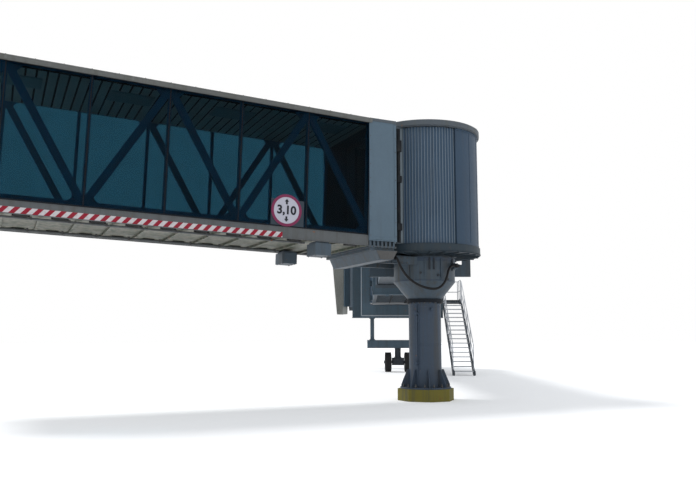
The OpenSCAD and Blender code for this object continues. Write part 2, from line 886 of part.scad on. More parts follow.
module cab_roof() {
  color("#b9b5a8") in_cab() {
    translate([0, 0, cab_top]) cylinder(h = 90, r = cab_drum_r + 20, $fn = round_fn);
    box(0, cab_front, -cab_y - 20, cab_y + 20, cab_top, cab_top + 90);
  }
}

module canopy_frame() {
  x0 = cab_front - 70;
  color("#6b737b") in_cab() difference() {
    box(x0, cab_front, -canopy_y + 60, canopy_y - 60, cab_floor_top, cab_top + 220);
    box(x0 - 1, cab_front + 1, -cab_y - 20, cab_y + 20, cab_floor_top - 1, cab_top + 90);
  }
}

module bumper() {
  color("#222326") in_cab()
    box(cab_front, cab_front + 110, -cab_y + 60, cab_y - 60,
      cab_floor_z - 60, cab_floor_top);
}

module canopy() {
  x0 = cab_front + fit;
  z0 = cab_floor_z - 350;
  z1 = cab_top + 250;
  y = canopy_y - 330;
  color("#c9ccc8") in_cab() difference() {
    rotate([90, 0, 0]) linear_extrude(2 * canopy_y, center = true)
      polygon([[x0, z0], [x0 + canopy_l, z0], [x0 + canopy_l + canopy_lean, z1], [x0, z1]]);
    box(x0 - 1, x0 + canopy_l + canopy_lean, -y, y, z0 - 1, cab_top - 80);
  }
}

module stair_landing() {
  r0 = landing_r;
  color("#868d92") swung() difference() {
    union() {
      box(r0, r0 + landing_l, -stair_y - stair_w, -b_y - fit, landing_z - 60, landing_z);
      for (r = [r0 + 100, r0 + landing_l - 160])
        box(r, r + 60, -stair_y, -b_y - fit, landing_z - 180, landing_z - 60);
      for (y = [-stair_y - 90, -stair_y - stair_w + 60])
        box(stair_pin_r - 50, r0 + 60, y, y + 30, stair_pin_z - 50, landing_z - 60);
      for (y = [-stair_y - 90, -stair_y - stair_w + 60])
        box(stair_pin_r - 50, r0, y, y + 30, landing_z - 60, stair_pin_z + 50);
    }
    translate([stair_pin_r, -stair_y, stair_pin_z]) rotate([90, 0, 0])
      cylinder(h = stair_w, d = stair_pin_d + 2 * fit);
  }
}

module rail_post(x, y, z, h) {
  translate([x, y, z]) cylinder(h = h, d = rail_d, $fn = 8);
}

// Straight round bar from point p to point q
module bar(p, q, d) {
  v = q - p;
  l = norm(v);
  translate(p) rotate([0, acos(v[2] / l), atan2(v[1], v[0])])
    cylinder(h = l, d = d, $fn = 8);
}

module landing_rails() {
  y0 = -stair_y - stair_w + 25;
  y1 = -b_y - 60;
  x0 = landing_r + 30;
  x1 = landing_r + landing_l - 30;
  color("#c8ccce") swung() {
    for (h = [rail_h / 2, rail_h]) {
      bar([x0, y0, landing_z + h], [x1, y0, landing_z + h], rail_d);
      bar([x1, y0, landing_z + h], [x1, y1, landing_z + h], rail_d);
    }
    for (x = [x0, (x0 + x1) / 2, x1])
      rail_post(x, y0, landing_z, rail_h);
    for (y = [(y0 + y1) / 2, y1])
      rail_post(x1, y, landing_z, rail_h);
  }
}

module stringer_shapes() {
  l = landing_r - stair_gap - stair_foot;
  top = stair_pin_z;
  for (s = [0, 1])
    translate([stair_foot, -stair_y - s * (stair_w - stringer_t), 0]) rotate([90, 0, 0])
      linear_extrude(stringer_t)
        polygon([[0, 0], [240, 0], [l - 40, top - 110], [l, top - 60], [l, top + 60],
          [l - 120, top + 60], [0, 170]]);
}

module stair_stringers() {
  color("#868d92") swung() {
    stringer_shapes();
    translate([stair_pin_r, -stair_y - stringer_t / 2, stair_pin_z]) rotate([90, 0, 0])
      cylinder(h = stair_w - stringer_t, d = stair_pin_d);
  }
}

module stair_treads() {
  l = landing_r - stair_gap - stair_foot;
  rise = landing_z / (treads + 1);
  going = (l - 150) / treads;
  color("#9aa0a4") swung()
    for (i = [1 : treads])
      box(stair_foot + (i - 1) * going + 30, stair_foot + (i - 1) * going + 270,
        -stair_y - stair_w + stringer_t, -stair_y - stringer_t, i * rise - 35, i * rise);
}

module stair_rails() {
  l = landing_r - stair_gap - stair_foot;
  m = (stair_pin_z + 60 - 170) / (l - 120);
  z0 = 170 + 40;
  span = l - 300;
  color("#c8ccce") swung() difference() {
    for (y = [-stair_y - stringer_t / 2, -stair_y - stair_w + stringer_t / 2]) {
      for (h = [rail_h / 2, rail_h])
        bar([stair_foot + 100, y, z0 + 100 * m + h - 40],
          [stair_foot + 100 + span, y, z0 + (100 + span) * m + h - 40], rail_d);
      for (i = [0 : 4])
        rail_post(stair_foot + 100 + i * span / 4, y, z0 - 90 + (100 + i * span / 4) * m,
          rail_h + 50);
    }
    stringer_shapes();
  }
}

function unit(v) = v / norm(v);

function tangent(p, i) =
  i == 0 ? unit(p[1] - p[0]) :
  i == len(p) - 1 ? unit(p[i] - p[i - 1]) : unit(p[i + 1] - p[i - 1]);

// Carries a side direction along the route without twist
function side_dirs(p, i = 0, out = []) =
  i == len(p) ? out :
  let (t = tangent(p, i),
    r = i == 0 ? cross(t, [0, 0, 1]) : out[i - 1],
    n = unit(r - t * (r * t)))
  side_dirs(p, i + 1, concat(out, [n]));

module swept_tube(p, d, sides) {
  n = len(p);
  dirs = side_dirs(p);
  pts = [for (i = [0 : n - 1]) let (t = tangent(p, i), u = dirs[i], v = cross(t, u))
    for (j = [0 : sides - 1])
      p[i] + d / 2 * (cos(j * 360 / sides) * u + sin(j * 360 / sides) * v)];
  sides_f = [for (i = [0 : n - 2]) for (j = [0 : sides - 1]) for (k = [0, 1])
    let (j1 = (j + 1) % sides)
    k == 0 ? [i * sides + j, i * sides + j1, (i + 1) * sides + j1]
      : [i * sides + j, (i + 1) * sides + j1, (i + 1) * sides + j]];
  polyhedron(pts, concat(sides_f,
    [[for (j = [sides - 1 : -1 : 0]) j]],
    [[for (j = [0 : sides - 1]) (n - 1) * sides + j]]));
}

module hanging_cable() {
  color("#141416") swept_tube(cable_points, cable_d, cable_sides);
}

module cable_glands() {
  color("#2a2c2f") {
    box(cable_start[0] - 50, cable_start[0] + 50, cable_start[1],
      -bracket_y - bracket_t / 2, cable_start[2] - 50, cable_start[2] + 50);
    box(cable_end[0], cable_end[0] + 90, cable_end[1] - gland_w / 2,
      cable_end[1] + gland_w / 2, cable_end[2] - gland_w / 2, cable_end[2] + gland_w / 2);
  }
}

near_truss();
far_truss();
near_glass();
far_glass();
edge_beams();
warning_strip();
tunnel_deck();
tunnel_soffit();
tunnel_roof();
tunnel_ceiling();
terminal_frame();
height_sign();
portal();
jambs();
near_curtain();
far_curtain();
plinth();
column_base();
column();
column_head();
portal_bracket();
rotunda_floor();
rotunda_roof();
rotunda_shell();
hinge_yoke();
tunnel_a_floor();
tunnel_a_walls();
tunnel_a_roof();
tunnel_b_floor();
tunnel_b_walls();
tunnel_b_roof();
tunnel_b_rear_frame();
service_door();
cab_curtain();
lift_brackets();
lift_frame();
jack_covers();
lift_legs();
bogie();
wheel_left();
wheel_right();
cab_floor();
cab_walls();
cab_panel();
cab_roof();
canopy_frame();
bumper();
canopy();
stair_landing();
landing_rails();
stair_stringers();
stair_treads();
stair_rails();
hanging_cable();
cable_glands();
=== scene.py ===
import math

import bmesh
import bpy
from mathutils import Matrix, Vector


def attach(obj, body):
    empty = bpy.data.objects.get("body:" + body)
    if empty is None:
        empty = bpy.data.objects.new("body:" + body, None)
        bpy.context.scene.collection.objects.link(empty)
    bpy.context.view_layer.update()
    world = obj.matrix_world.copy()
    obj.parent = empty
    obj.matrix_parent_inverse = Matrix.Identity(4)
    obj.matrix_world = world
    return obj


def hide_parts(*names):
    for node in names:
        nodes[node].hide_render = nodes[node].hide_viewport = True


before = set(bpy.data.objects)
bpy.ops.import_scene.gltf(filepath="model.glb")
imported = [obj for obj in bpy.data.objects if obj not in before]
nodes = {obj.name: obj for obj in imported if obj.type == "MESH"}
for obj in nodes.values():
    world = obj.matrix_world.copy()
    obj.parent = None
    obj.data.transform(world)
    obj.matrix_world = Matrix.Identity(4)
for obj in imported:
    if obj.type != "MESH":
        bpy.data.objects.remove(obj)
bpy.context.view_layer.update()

scene = bpy.context.scene

# Lengths are in metres and angles in degrees
TUNNEL_X, TUNNEL_Z, TUNNEL_SLOPE = -2.31, 3.954, 1.5
SWING, TILT, HINGE_R, HINGE_Z = 63, 1.8, 1.5, 3.68
CAB_R, CAB_TURN = 17.7, 35
EX, EY, EZ = (1, 0, 0), (0, 1, 0), (0, 0, 1)
SIDES = (-1, 1)


def shift(x, y, z):
    return Matrix.Translation((x, y, z))


def turn(axis, degrees):
    return Matrix.Rotation(math.radians(degrees), 4, axis)


def axes(x, y, z, at):
    """A frame at a point, with its X, Y and Z along three directions."""
    return shift(*at) @ Matrix((x, y, z)).transposed().to_4x4()


def series(first, step, count):
    return [first + i * step for i in range(count)]


def polar(angle, radius, z):
    a = math.radians(angle)
    return (radius * math.cos(a), radius * math.sin(a), z)


# Frames at rest: the part's own, the glazed tunnel's, and those of the swung, tilted and turned bodies
PART = Matrix.Identity(4)
SLOPED = shift(TUNNEL_X, 0, TUNNEL_Z) @ turn("Y", TUNNEL_SLOPE)
SWUNG = turn("Z", SWING)
TILTED = SWUNG @ shift(HINGE_R, 0, HINGE_Z) @ turn("Y", TILT) @ shift(-HINGE_R, 0, -HINGE_Z)
CAB = TILTED @ shift(CAB_R, 0, 0) @ turn("Z", CAB_TURN)


def linked(name, data):
    obj = bpy.data.objects.new(name, data)
    scene.collection.objects.link(obj)
    return obj


def aimed(name, data, direction):
    """A camera or lamp that looks along a direction."""
    obj = linked(name, data)
    obj.rotation_mode = "QUATERNION"
    obj.rotation_quaternion = Vector(direction).to_track_quat("-Z", "Y")
    return obj


# Camera of the photograph
EYE, LOOK, PITCH = (-10.02, -16.15, 1.6), (0.4352, 0.9003), math.radians(7.03)
cam_data = bpy.data.cameras.new("camera")
cam_data.sensor_width = 36
cam_data.lens = 37.53
cam_data.clip_end = 500
level = math.cos(PITCH)
camera = aimed("camera", cam_data, (LOOK[0] * level, LOOK[1] * level, math.sin(PITCH)))
camera.location = EYE
scene.camera = camera
scene.view_settings.view_transform = "Standard"

# Materials. The colours of the portal, slat, panel, fascia, column, ring, frame, edge and soffit paints
# are set to the darker look of the bridge's shaded near side rather than to the paint itself, so they
# hold painted shade
DIRT, RUST, DUST = (0.055, 0.05, 0.04), (0.19, 0.075, 0.03), (0.06, 0.056, 0.05)
SPECULAR = 0.2


class Nodes:
    """A short way to write the node tree of a material or of the world."""

    def __init__(self, name, data=bpy.data.materials, output="OutputMaterial"):
        self.owner = data.new(name)
        self.owner.use_nodes = True
        self.tree = self.owner.node_tree
        self.tree.nodes.clear()
        self.out = self.new(output)

    def new(self, kind):
        return self.tree.nodes.new("ShaderNode" + kind)

    def link(self, value, socket):
        if hasattr(value, "is_output"):
            self.tree.links.new(value, socket)
        else:
            socket.default_value = value

    def node(self, kind, out, values):
        n = self.new(kind)
        for key, value in values.items():
            self.link(value, n.inputs[key])
        return n.outputs[out]

    @property
    def coord(self):
        return self.new("TexCoord").outputs["Object"]

    def stretched(self, scale):
        return self.node("Mapping", "Vector", {"Vector": self.coord, "Scale": scale})

    def noise(self, scale, detail=6.0, rough=0.6, vector=None):
        values = {"Vector": vector or self.coord, "Scale": scale, "Detail": detail, "Roughness": rough}
        return self.node("TexNoise", "Fac", values)

    def ramp(self, value, low, high, a=0.0, b=1.0):
        values = {"Value": value, "From Min": low, "From Max": high, "To Min": a, "To Max": b}
        return self.node("MapRange", "Result", values)

    def math(self, kind, a, b=0.0):
        n = self.new("Math")
        n.operation = kind
        self.link(a, n.inputs[0])
        self.link(b, n.inputs[1])
        return n.outputs[0]

    def mix(self, factor, a, b):
        n = self.new("Mix")
        n.data_type = "RGBA"
        self.link(factor, n.inputs[0])
        self.link(a if hasattr(a, "is_output") else (*a, 1), n.inputs[6])
        self.link(b if hasattr(b, "is_output") else (*b, 1), n.inputs[7])
        return n.outputs[2]

    def bump(self, height, strength, distance):
        values = {"Height": height, "Strength": strength, "Distance": distance}
        return self.node("Bump", "Normal", values)

    def shader(self, colour, rough, normal=None, **extra):
        values = {key.replace("_", " "): value for key, value in extra.items()}
        values.update({"Base Color": colour, "Roughness": rough})
        if normal is not None:
            values["Normal"] = normal
        return self.node("BsdfPrincipled", 0, values)

    def done(self, surface):
        self.link(surface, self.out.inputs[0])
        return self.owner


def darker(rgb, k):
    return tuple(c * k for c in rgb)


def paint(name, rgb, dirt=DIRT, dirty=0.3, rust=0.0, rough=0.5, spread=0.85, metal=0.0, bare=0.5):
    """Weathered paint. dirty is the strength of the rain streaks and bare the noise level at which they
    start, spread is the dark end of the broad fading, and rust over 0 adds spots of rust."""
    m = Nodes(name)
    broad = m.noise(0.55, 4.0)
    fine = m.noise(22.0, 8.0, 0.7)
    streaks = m.noise(1.0, 5.0, 0.65, m.stretched((7.0, 7.0, 0.45)))
    colour = m.mix(m.ramp(broad, 0.3, 0.7), darker(rgb, spread), rgb)
    colour = m.mix(m.ramp(fine, 0.35, 0.75, 0.0, 0.25), colour, darker(rgb, 0.6))
    colour = m.mix(m.ramp(streaks, bare, bare + 0.28, 0.0, dirty), colour, dirt)
    if rust:
        spots = m.noise(5.0, 9.0, 0.72)
        colour = m.mix(m.ramp(spots, 0.66 - 0.08 * rust, 0.72 - 0.06 * rust), colour, RUST)
    rough = m.ramp(fine, 0.2, 0.8, rough - 0.1, rough + 0.15)
    normal = m.bump(m.noise(60.0, 4.0), 0.12, 0.004)
    return m.done(m.shader(colour, rough, normal, Metallic=metal, Specular_IOR_Level=SPECULAR))


def rubber(name, rgb, rough=0.75):
    """Dusty rubber or floor covering."""
    m = Nodes(name)
    fine = m.noise(35.0, 8.0, 0.7)
    dust = m.noise(2.2, 6.0, 0.6)
    colour = m.mix(m.ramp(dust, 0.45, 0.8, 0.0, 0.45), rgb, DUST)
    colour = m.mix(m.ramp(fine, 0.4, 0.7, 0.0, 0.3), colour, darker(rgb, 0.5))
    rough = m.ramp(fine, 0.2, 0.8, rough - 0.1, rough + 0.1)
    return m.done(m.shader(colour, rough, m.bump(fine, 0.2, 0.003), Specular_IOR_Level=SPECULAR))


def tinted_glass(name, rgb):
    """Glass with a thin film of dirt, which lets tinted light through to the shadows."""
    m = Nodes(name)
    film = m.noise(1.6, 5.0)
    colour = m.mix(m.ramp(film, 0.3, 0.7), darker(rgb, 0.9), rgb)
    rough = m.ramp(m.noise(7.0, 6.0), 0.55, 0.8, 0.015, 0.05)
    pane = m.shader(colour, rough, Transmission_Weight=1.0, IOR=1.12)
    clear = m.node("BsdfTransparent", 0, {"Color": (*[c**0.3 for c in rgb], 1)})
    shadow = m.new("LightPath").outputs["Is Shadow Ray"]
    return m.done(m.node("MixShader", 0, {0: shadow, 1: pane, 2: clear}))


def stripes(name, pitch=0.21, slant=0.9):
    """Red and white slanted warning stripes with scuffed paint."""
    m = Nodes(name)
    split = m.new("SeparateXYZ")
    m.link(m.coord, split.inputs[0])
    across = m.math("SUBTRACT", split.outputs[0], m.math("MULTIPLY", split.outputs[2], slant))
    wave = m.math("FRACT", m.math("ADD", m.math("DIVIDE", across, pitch), 400.0))
    red = m.math("LESS_THAN", wave, 0.5)
    fine = m.noise(14.0, 8.0, 0.7)
    base = m.mix(red, (0.5, 0.47, 0.48), (0.24, 0.007, 0.022))
    colour = m.mix(m.ramp(fine, 0.5, 0.75, 0.0, 0.4), base, (0.1, 0.08, 0.08))
    rough = m.ramp(fine, 0.2, 0.8, 0.4, 0.65)
    return m.done(m.shader(colour, rough, m.bump(fine, 0.1, 0.003), Specular_IOR_Level=SPECULAR))


def canvas(name, rgb):
    """Stained cloth with a fine weave."""
    m = Nodes(name)
    weave = m.node("TexWave", "Fac", {"Scale": 70.0, "Distortion": 1.5, "Vector": m.coord})
    broad = m.noise(1.2, 6.0)
    stain = m.noise(1.0, 6.0, 0.6, m.stretched((5.0, 5.0, 0.6)))
    colour = m.mix(m.ramp(broad, 0.3, 0.7), darker(rgb, 0.82), rgb)
    colour = m.mix(m.ramp(stain, 0.5, 0.8, 0.0, 0.35), colour, (0.2, 0.18, 0.15))
    return m.done(m.shader(colour, 0.85, m.bump(weave, 0.25, 0.002), Sheen_Weight=0.25))


mats = {
    # The truss colour is raised brighter to make up for the dim light that reaches it behind the glass:
    # painted light
    "truss": paint("truss_paint", (0.1, 0.22, 0.33), dirty=0.1, rough=0.6),
    "glass": tinted_glass("tunnel_glass", (0.095, 0.225, 0.285)),
    "edge": paint("edge_paint", (0.1, 0.108, 0.112), dirty=0.5, rust=0.35, bare=0.45),
    "stripes": stripes("warning_stripes"),
    "deck": rubber("deck_covering", (0.05, 0.05, 0.05)),
    "soffit": paint(
        "soffit_paint", (0.2, 0.185, 0.15), dirt=(0.035, 0.055, 0.035), dirty=0.95, rust=0.3,
        spread=0.6, bare=0.36,
    ),
    "roof": paint("roof_paint", (0.14, 0.145, 0.14), dirt=(0.06, 0.06, 0.035), dirty=0.5, rust=0.1),
    "ceiling": paint("ceiling_boards", (0.6, 0.47, 0.42), dirty=0.1, rough=0.6),
    # Near-black paint on the ceiling above the boards stands for the shade in the cavity that shows
    # through their gaps: painted shade
    "cavity_shade": paint("ceiling_void", (0.008, 0.01, 0.014), dirty=0.1, rough=0.8),
    "gasket": rubber("gasket_rubber", (0.012, 0.014, 0.017)),
    "portal": paint("portal_paint", (0.095, 0.14, 0.18), dirty=0.25, rough=0.45),
    "jamb": paint("jamb_paint", (0.15, 0.185, 0.21), dirty=0.25, rough=0.45),
    "slats": paint("slat_paint", (0.052, 0.09, 0.14), dirty=0.28, rough=0.4, spread=0.8),
    "panel": paint("panel_paint", (0.034, 0.062, 0.1), dirty=0.2, rough=0.45),
    "fascia": paint("fascia_paint", (0.085, 0.1, 0.115), dirt=(0.07, 0.07, 0.035), dirty=0.5, rust=0.1),
    "steel": paint("structure_paint", (0.065, 0.09, 0.115), dirty=0.75, rust=0.3, bare=0.45),
    "column": paint("column_paint", (0.05, 0.072, 0.105), dirty=0.7, rust=0.3, bare=0.46),
    "frame": paint("frame_paint", (0.065, 0.1, 0.13), dirty=0.4, rust=0.2),
    "cover": paint("cover_paint", (0.05, 0.078, 0.1), rust=0.1),
    "bogie": paint("bogie_paint", (0.035, 0.042, 0.052), dirty=0.5, rust=0.4, rough=0.6),
    "wall": paint("wall_paint", (0.13, 0.165, 0.2), dirty=0.4, rust=0.1),
    "plinth": paint(
        "plinth_paint", (0.15, 0.13, 0.025), dirt=(0.04, 0.05, 0.05), dirty=0.95, rust=0.3, rough=0.7
    ),
    "bright": paint("galvanised", (0.5, 0.52, 0.55), rough=0.38, metal=0.3),
    "bolt": paint("bolt_steel", (0.1, 0.1, 0.1), rust=0.5, metal=0.6),
    "edge_highlight": paint("worn_edges", (0.3, 0.33, 0.36), rough=0.4),
    "tread": paint("tread_grating", (0.3, 0.32, 0.34), dirty=0.5, metal=0.3),
    "tyre": rubber("tyre_rubber", (0.018, 0.018, 0.019), 0.8),
    "black": rubber("black_rubber", (0.012, 0.012, 0.013), 0.55),
    "canvas": canvas("canopy_fabric", (0.32, 0.33, 0.31)),
    "canvas_dark": canvas("canopy_seams", (0.14, 0.14, 0.13)),
    "lamp": paint("lamp_cover", (0.33, 0.33, 0.32), dirty=0.15),
    "sign_back": paint("sign_backing", (0.03, 0.045, 0.06), dirty=0.2, rough=0.4),
    "sign_white": paint("sign_white", (0.45, 0.45, 0.52), dirty=0.15, rough=0.35),
    "sign_red": paint("sign_red", (0.19, 0.025, 0.075), dirty=0.15, rough=0.35),
    "sign_black": paint("sign_black", (0.012, 0.013, 0.02), dirty=0.1, rough=0.35),
    "window": tinted_glass("door_glass", (0.2, 0.3, 0.33)),
    # The ring colour is darkened to stand for the shadow band under the slats: painted shade
    "ring": paint("ring_paint", (0.026, 0.04, 0.052), dirty=0.5, rust=0.25),
    # Light colour for the crests of the slats: painted highlight
    "slat_highlight": paint("slat_edges", (0.16, 0.2, 0.235), rough=0.4),
    "cable": paint("cable_sheath", (0.008, 0.008, 0.009), dirty=0.1),
    "seal": paint("glazing_seal", (0.006, 0.009, 0.014), dirty=0.05, rough=0.7),
    "floor_frame": paint("floor_frame_paint", (0.07, 0.085, 0.1), dirty=0.4, rust=0.25),
    "stair": paint("stair_paint", (0.06, 0.072, 0.085), dirty=0.4, rust=0.2),
}
NODE_MATS = {
    "truss": "near_truss far_truss",
    "glass": "near_glass far_glass",
    "edge": "edge_beams",
    "stripes": "warning_strip",
    "deck": "tunnel_deck",
    "soffit": "tunnel_soffit",
    "roof": "tunnel_roof terminal_frame tunnel_a_roof tunnel_b_roof cab_roof",
    "cavity_shade": "tunnel_ceiling",
    "portal": "portal",
    "jamb": "jambs",
    "slats": "near_curtain far_curtain cab_curtain",
    "panel": "rotunda_shell cab_panel",
    "fascia": "rotunda_roof",
    "steel": "column_head portal_bracket hinge_yoke",
    "ring": "rotunda_floor",
    "column": "column column_base",
    "frame": "lift_frame lift_legs lift_brackets tunnel_b_rear_frame canopy_frame",
    "cover": "jack_covers",
    "bogie": "bogie",
    "wall": "tunnel_a_walls tunnel_b_walls cab_walls service_door",
    "floor_frame": "tunnel_a_floor tunnel_b_floor cab_floor",
    "plinth": "plinth",
    "bright": "landing_rails stair_rails",
    "stair": "stair_landing stair_stringers",
    "tread": "stair_treads",
    "sign_back": "height_sign",
    "black": "bumper cable_glands",
}
for key, names in NODE_MATS.items():
    for name in names.split():
        nodes[name].data.materials.clear()
        nodes[name].data.materials.append(mats[key])


# Mesh helpers: each adds closed shapes to a bmesh
def bevelled(bm, verts, width):
    if width:
        edges = {e for v in verts for e in v.link_edges}
        bmesh.ops.bevel(
            bm, geom=list(edges), offset=width, segments=1, affect="EDGES", clamp_overlap=True
        )


def box(bm, x0, x1, y0, y1, z0, z1, bevel=0.003):
    made = bmesh.ops.create_cube(bm, size=1)["verts"]
    size = Vector((x1 - x0, y1 - y0, z1 - z0))
    centre = Vector((x0 + x1, y0 + y1, z0 + z1)) / 2
    for v in made:
        v.co = v.co * size + centre
    bevelled(bm, made, bevel)


def side_box(bm, side, x0, x1, y0, y1, z0, z1, bevel=0.003):
    """A box on one side of the centre line, with y counted outwards from it."""
    box(bm, x0, x1, *sorted((side * y0, side * y1)), z0, z1, bevel)


def twin_boxes(bm, *sizes):
    """The same box on both sides of the centre line."""
    for side in SIDES:
        side_box(bm, side, *sizes)


def prism(bm, outline, place, depth, bevel=0.0):
    """Extrudes a flat outline along the local Z of place by depth."""
    low = [bm.verts.new(place @ Vector((x, y, 0))) for x, y in outline]
    high = [bm.verts.new(place @ Vector((x, y, depth))) for x, y in outline]
    n = len(outline)
    bm.faces.new(low[::-1])
    bm.faces.new(high)
    for i in range(n):
        bm.faces.new((low[i], low[(i + 1) % n], high[(i + 1) % n], high[i]))
    bevelled(bm, low + high, bevel)


def along(p, q):
    """A frame at p with its Z towards q."""
    direction = (Vector(q) - Vector(p)).normalized()
    return Matrix.Translation(p) @ direction.to_track_quat("Z", "Y").to_matrix().to_4x4()


def circle(radius, count):
    return [polar(angle, radius, 0)[:2] for angle in series(0, 360 / count, count)]


def rod(bm, p, q, radius, count=12, bevel=0.0):
    prism(bm, circle(radius, count), along(p, q), (Vector(q) - Vector(p)).length, bevel)


def twin_rods(bm, p, q, *sizes):
    """The same rod on both sides of the centre line."""
    for side in SIDES:
        rod(bm, (p[0], side * p[1], p[2]), (q[0], side * q[1], q[2]), *sizes)


def bolt(bm, p, direction, radius, height, washer=0.004):
    """Hexagon head on a washer."""
    p, direction = Vector(p), Vector(direction).normalized()
    rod(bm, p, p + direction * washer, radius * 1.35, 12)
    rod(bm, p + direction * washer, p + direction * height, radius, 6, 0.002)


def twin_bolts(bm, x, y, z, radius, height, facing=None):
    """A bolt on each side of the centre line, facing outwards unless a direction is given."""
    for side in SIDES:
        bolt(bm, (x, side * y, z), facing or (0, side, 0), radius, height)


def lathe(bm, profile, place=PART, count=64):
    """Closed profile of (radius, height) turned about the local Z of place."""
    rings = []
    for r, h in profile:
        rings.append([bm.verts.new(place @ Vector((x, y, h))) for x, y in circle(r, count)])
    n = len(profile)
    for i in range(n):
        a, b = rings[i], rings[(i + 1) % n]
        for j in range(count):
            k = (j + 1) % count
            bm.faces.new((a[j], a[k], b[k], b[j]))


def arc_strip(bm, r0, r1, z0, z1, a0, a1, step=3.0):
    """Curved bar of rectangular section about the Z axis."""
    n = max(1, round(abs(a1 - a0) / step))
    corners = ((r0, z0), (r1, z0), (r1, z1), (r0, z1))
    closed = abs(a1 - a0) > 359.9
    angles = series(a0, (a1 - a0) / n, n if closed else n + 1)
    rows = [[bm.verts.new(polar(angle, r, z)) for r, z in corners] for angle in angles]
    if closed:
        rows.append(rows[0])
    for a, b in zip(rows, rows[1:]):
        for j in range(4):
            bm.faces.new((a[j], b[j], b[(j + 1) % 4], a[(j + 1) % 4]))
    if not closed:
        bm.faces.new(rows[0])
        bm.faces.new(rows[-1][::-1])


def upright(bm, r0, r1, z0, z1, angle, half_width):
    """Narrow upright strip on a round wall."""
    arc_strip(bm, r0, r1, z0, z1, angle - half_width, angle + half_width, 1)


def piece(name, body, mat, bm, place=PART, smooth=0.6, replaces=()):
    """Turns the bmesh into one piece that rides on a body, and empties it for the next one.
    Edges sharper than smooth stay sharp."""
    bmesh.ops.recalc_face_normals(bm, faces=bm.faces[:])
    mesh = bpy.data.meshes.new(name)
    bm.to_mesh(mesh)
    bm.clear()
    mesh.transform(place)
    obj = linked(name, mesh)
    mesh.materials.append(mats[mat])
    if smooth:
        mesh.shade_smooth()
        mesh.set_sharp_from_angle(angle=smooth)
    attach(obj, body)
    if replaces:
        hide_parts(*replaces)
    return obj


# The meshes to build in: piece empties each one again
bm, bolts, clips, lit_edges, nose = (bmesh.new() for _ in range(5))

# Fixed tunnel in its sloped frame: x is 0 at the portal and falls towards the terminal, and z is 0 at the
# foot of the glass
BAY, BAYS = 1.573, 6
LENGTH = BAY * BAYS
GLASS_H, GLASS_OUT, EDGE_OUT, ROOF_OUT = 2.743, 1.273, 1.303, 1.363
PANE_T, PANE_JOINT = 0.007, 0.003
for side, name in zip(SIDES, ("near", "far")):
    for x in series(-BAY, -BAY, BAYS):
        x0, x1 = x + PANE_JOINT, x + BAY - PANE_JOINT
        side_box(bm, side, x0, x1, GLASS_OUT - PANE_T, GLASS_OUT, 0, GLASS_H, 0.001)
    piece(name + "_panes", "fixed", "glass", bm, SLOPED, replaces=(name + "_glass",))

SEAL = (GLASS_OUT, GLASS_OUT + 0.012)
SEAL_HALF, SEAL_FOOT, SEAL_TOP = 0.011, 0.035, GLASS_H - 0.05
twin_boxes(bm, -LENGTH, 0, *SEAL, 0, SEAL_FOOT, 0.002)
twin_boxes(bm, -LENGTH, 0, *SEAL, SEAL_TOP, GLASS_H, 0.002)
for x in series(0, -BAY, BAYS + 1):
    x = min(max(x, SEAL_HALF - LENGTH), -SEAL_HALF)
    twin_boxes(bm, x - SEAL_HALF, x + SEAL_HALF, *SEAL, SEAL_FOOT, SEAL_TOP, 0.002)
piece("glass_gaskets", "fixed", "seal", bm, SLOPED)

# Roof: pressed edge outline from the roof's edge and the top of the glass, clips, seams and hatches
END_FRAME = 0.15
TRIM = [
    (0, -0.053), (0.012, -0.053), (0.012, -0.044), (0.003, -0.044), (0.003, -0.014), (0.009, -0.014),
    (0.009, -0.004), (0.003, -0.004), (0.003, 0.026), (0.014, 0.032), (0.014, 0.053), (-0.05, 0.053),
    (-0.05, 0.0515), (0, 0.0515),
]
for side in SIDES:
    outline = [(side * (ROOF_OUT + a), GLASS_H + b) for a, b in TRIM]
    prism(bm, outline, axes(EY, EZ, EX, (-LENGTH - END_FRAME, 0, 0)), LENGTH + END_FRAME)
for x in series(-0.02, -BAY / 2, 13):
    twin_boxes(
        bm, x - 0.03, x + 0.03, ROOF_OUT + 0.001, ROOF_OUT + 0.012, GLASS_H - 0.04, GLASS_H + 0.03, 0.002
    )
piece("roof_edge_trim", "fixed", "roof", bm, SLOPED)
for x in series(-0.02, -BAY / 3, 17):
    box(bm, x - 0.012, x + 0.012, -1.34, 1.34, GLASS_H + 0.051, GLASS_H + 0.075)
for x in series(-LENGTH + 0.1, BAY, BAYS):
    box(bm, x, x + 0.18, 1.0, 1.18, GLASS_H + 0.048, GLASS_H + 0.058)
piece("roof_seams", "fixed", "roof", bm, SLOPED)

# Ceiling boards with open gaps, and lights under them as (x, y) of their centres
BOARD, BOARD_PITCH, BOARD_START, BOARD_Z = 0.163, 0.203, 0.02, 2.636
LIGHTS = ((-0.9, -0.6), (-3.15, -0.5), (-5.4, -0.42), (-7.65, -0.42))
for x in series(-BOARD_START, -BOARD_PITCH, int((LENGTH - BOARD_START - BOARD) / BOARD_PITCH) + 1):
    box(bm, x - BOARD, x, -1.17, 1.17, BOARD_Z, BOARD_Z + 0.016)
piece("ceiling_boards_fixed", "fixed", "ceiling", bm, SLOPED)
for x, y in LIGHTS:
    box(bm, x - 0.45, x + 0.45, y - 0.32, y + 0.32, BOARD_Z - 0.024, BOARD_Z + 0.001, 0.006)
    box(bm, x - 0.47, x + 0.47, y - 0.34, y + 0.34, BOARD_Z - 0.008, BOARD_Z + 0.001)
piece("ceiling_lights", "fixed", "lamp", bm, SLOPED)

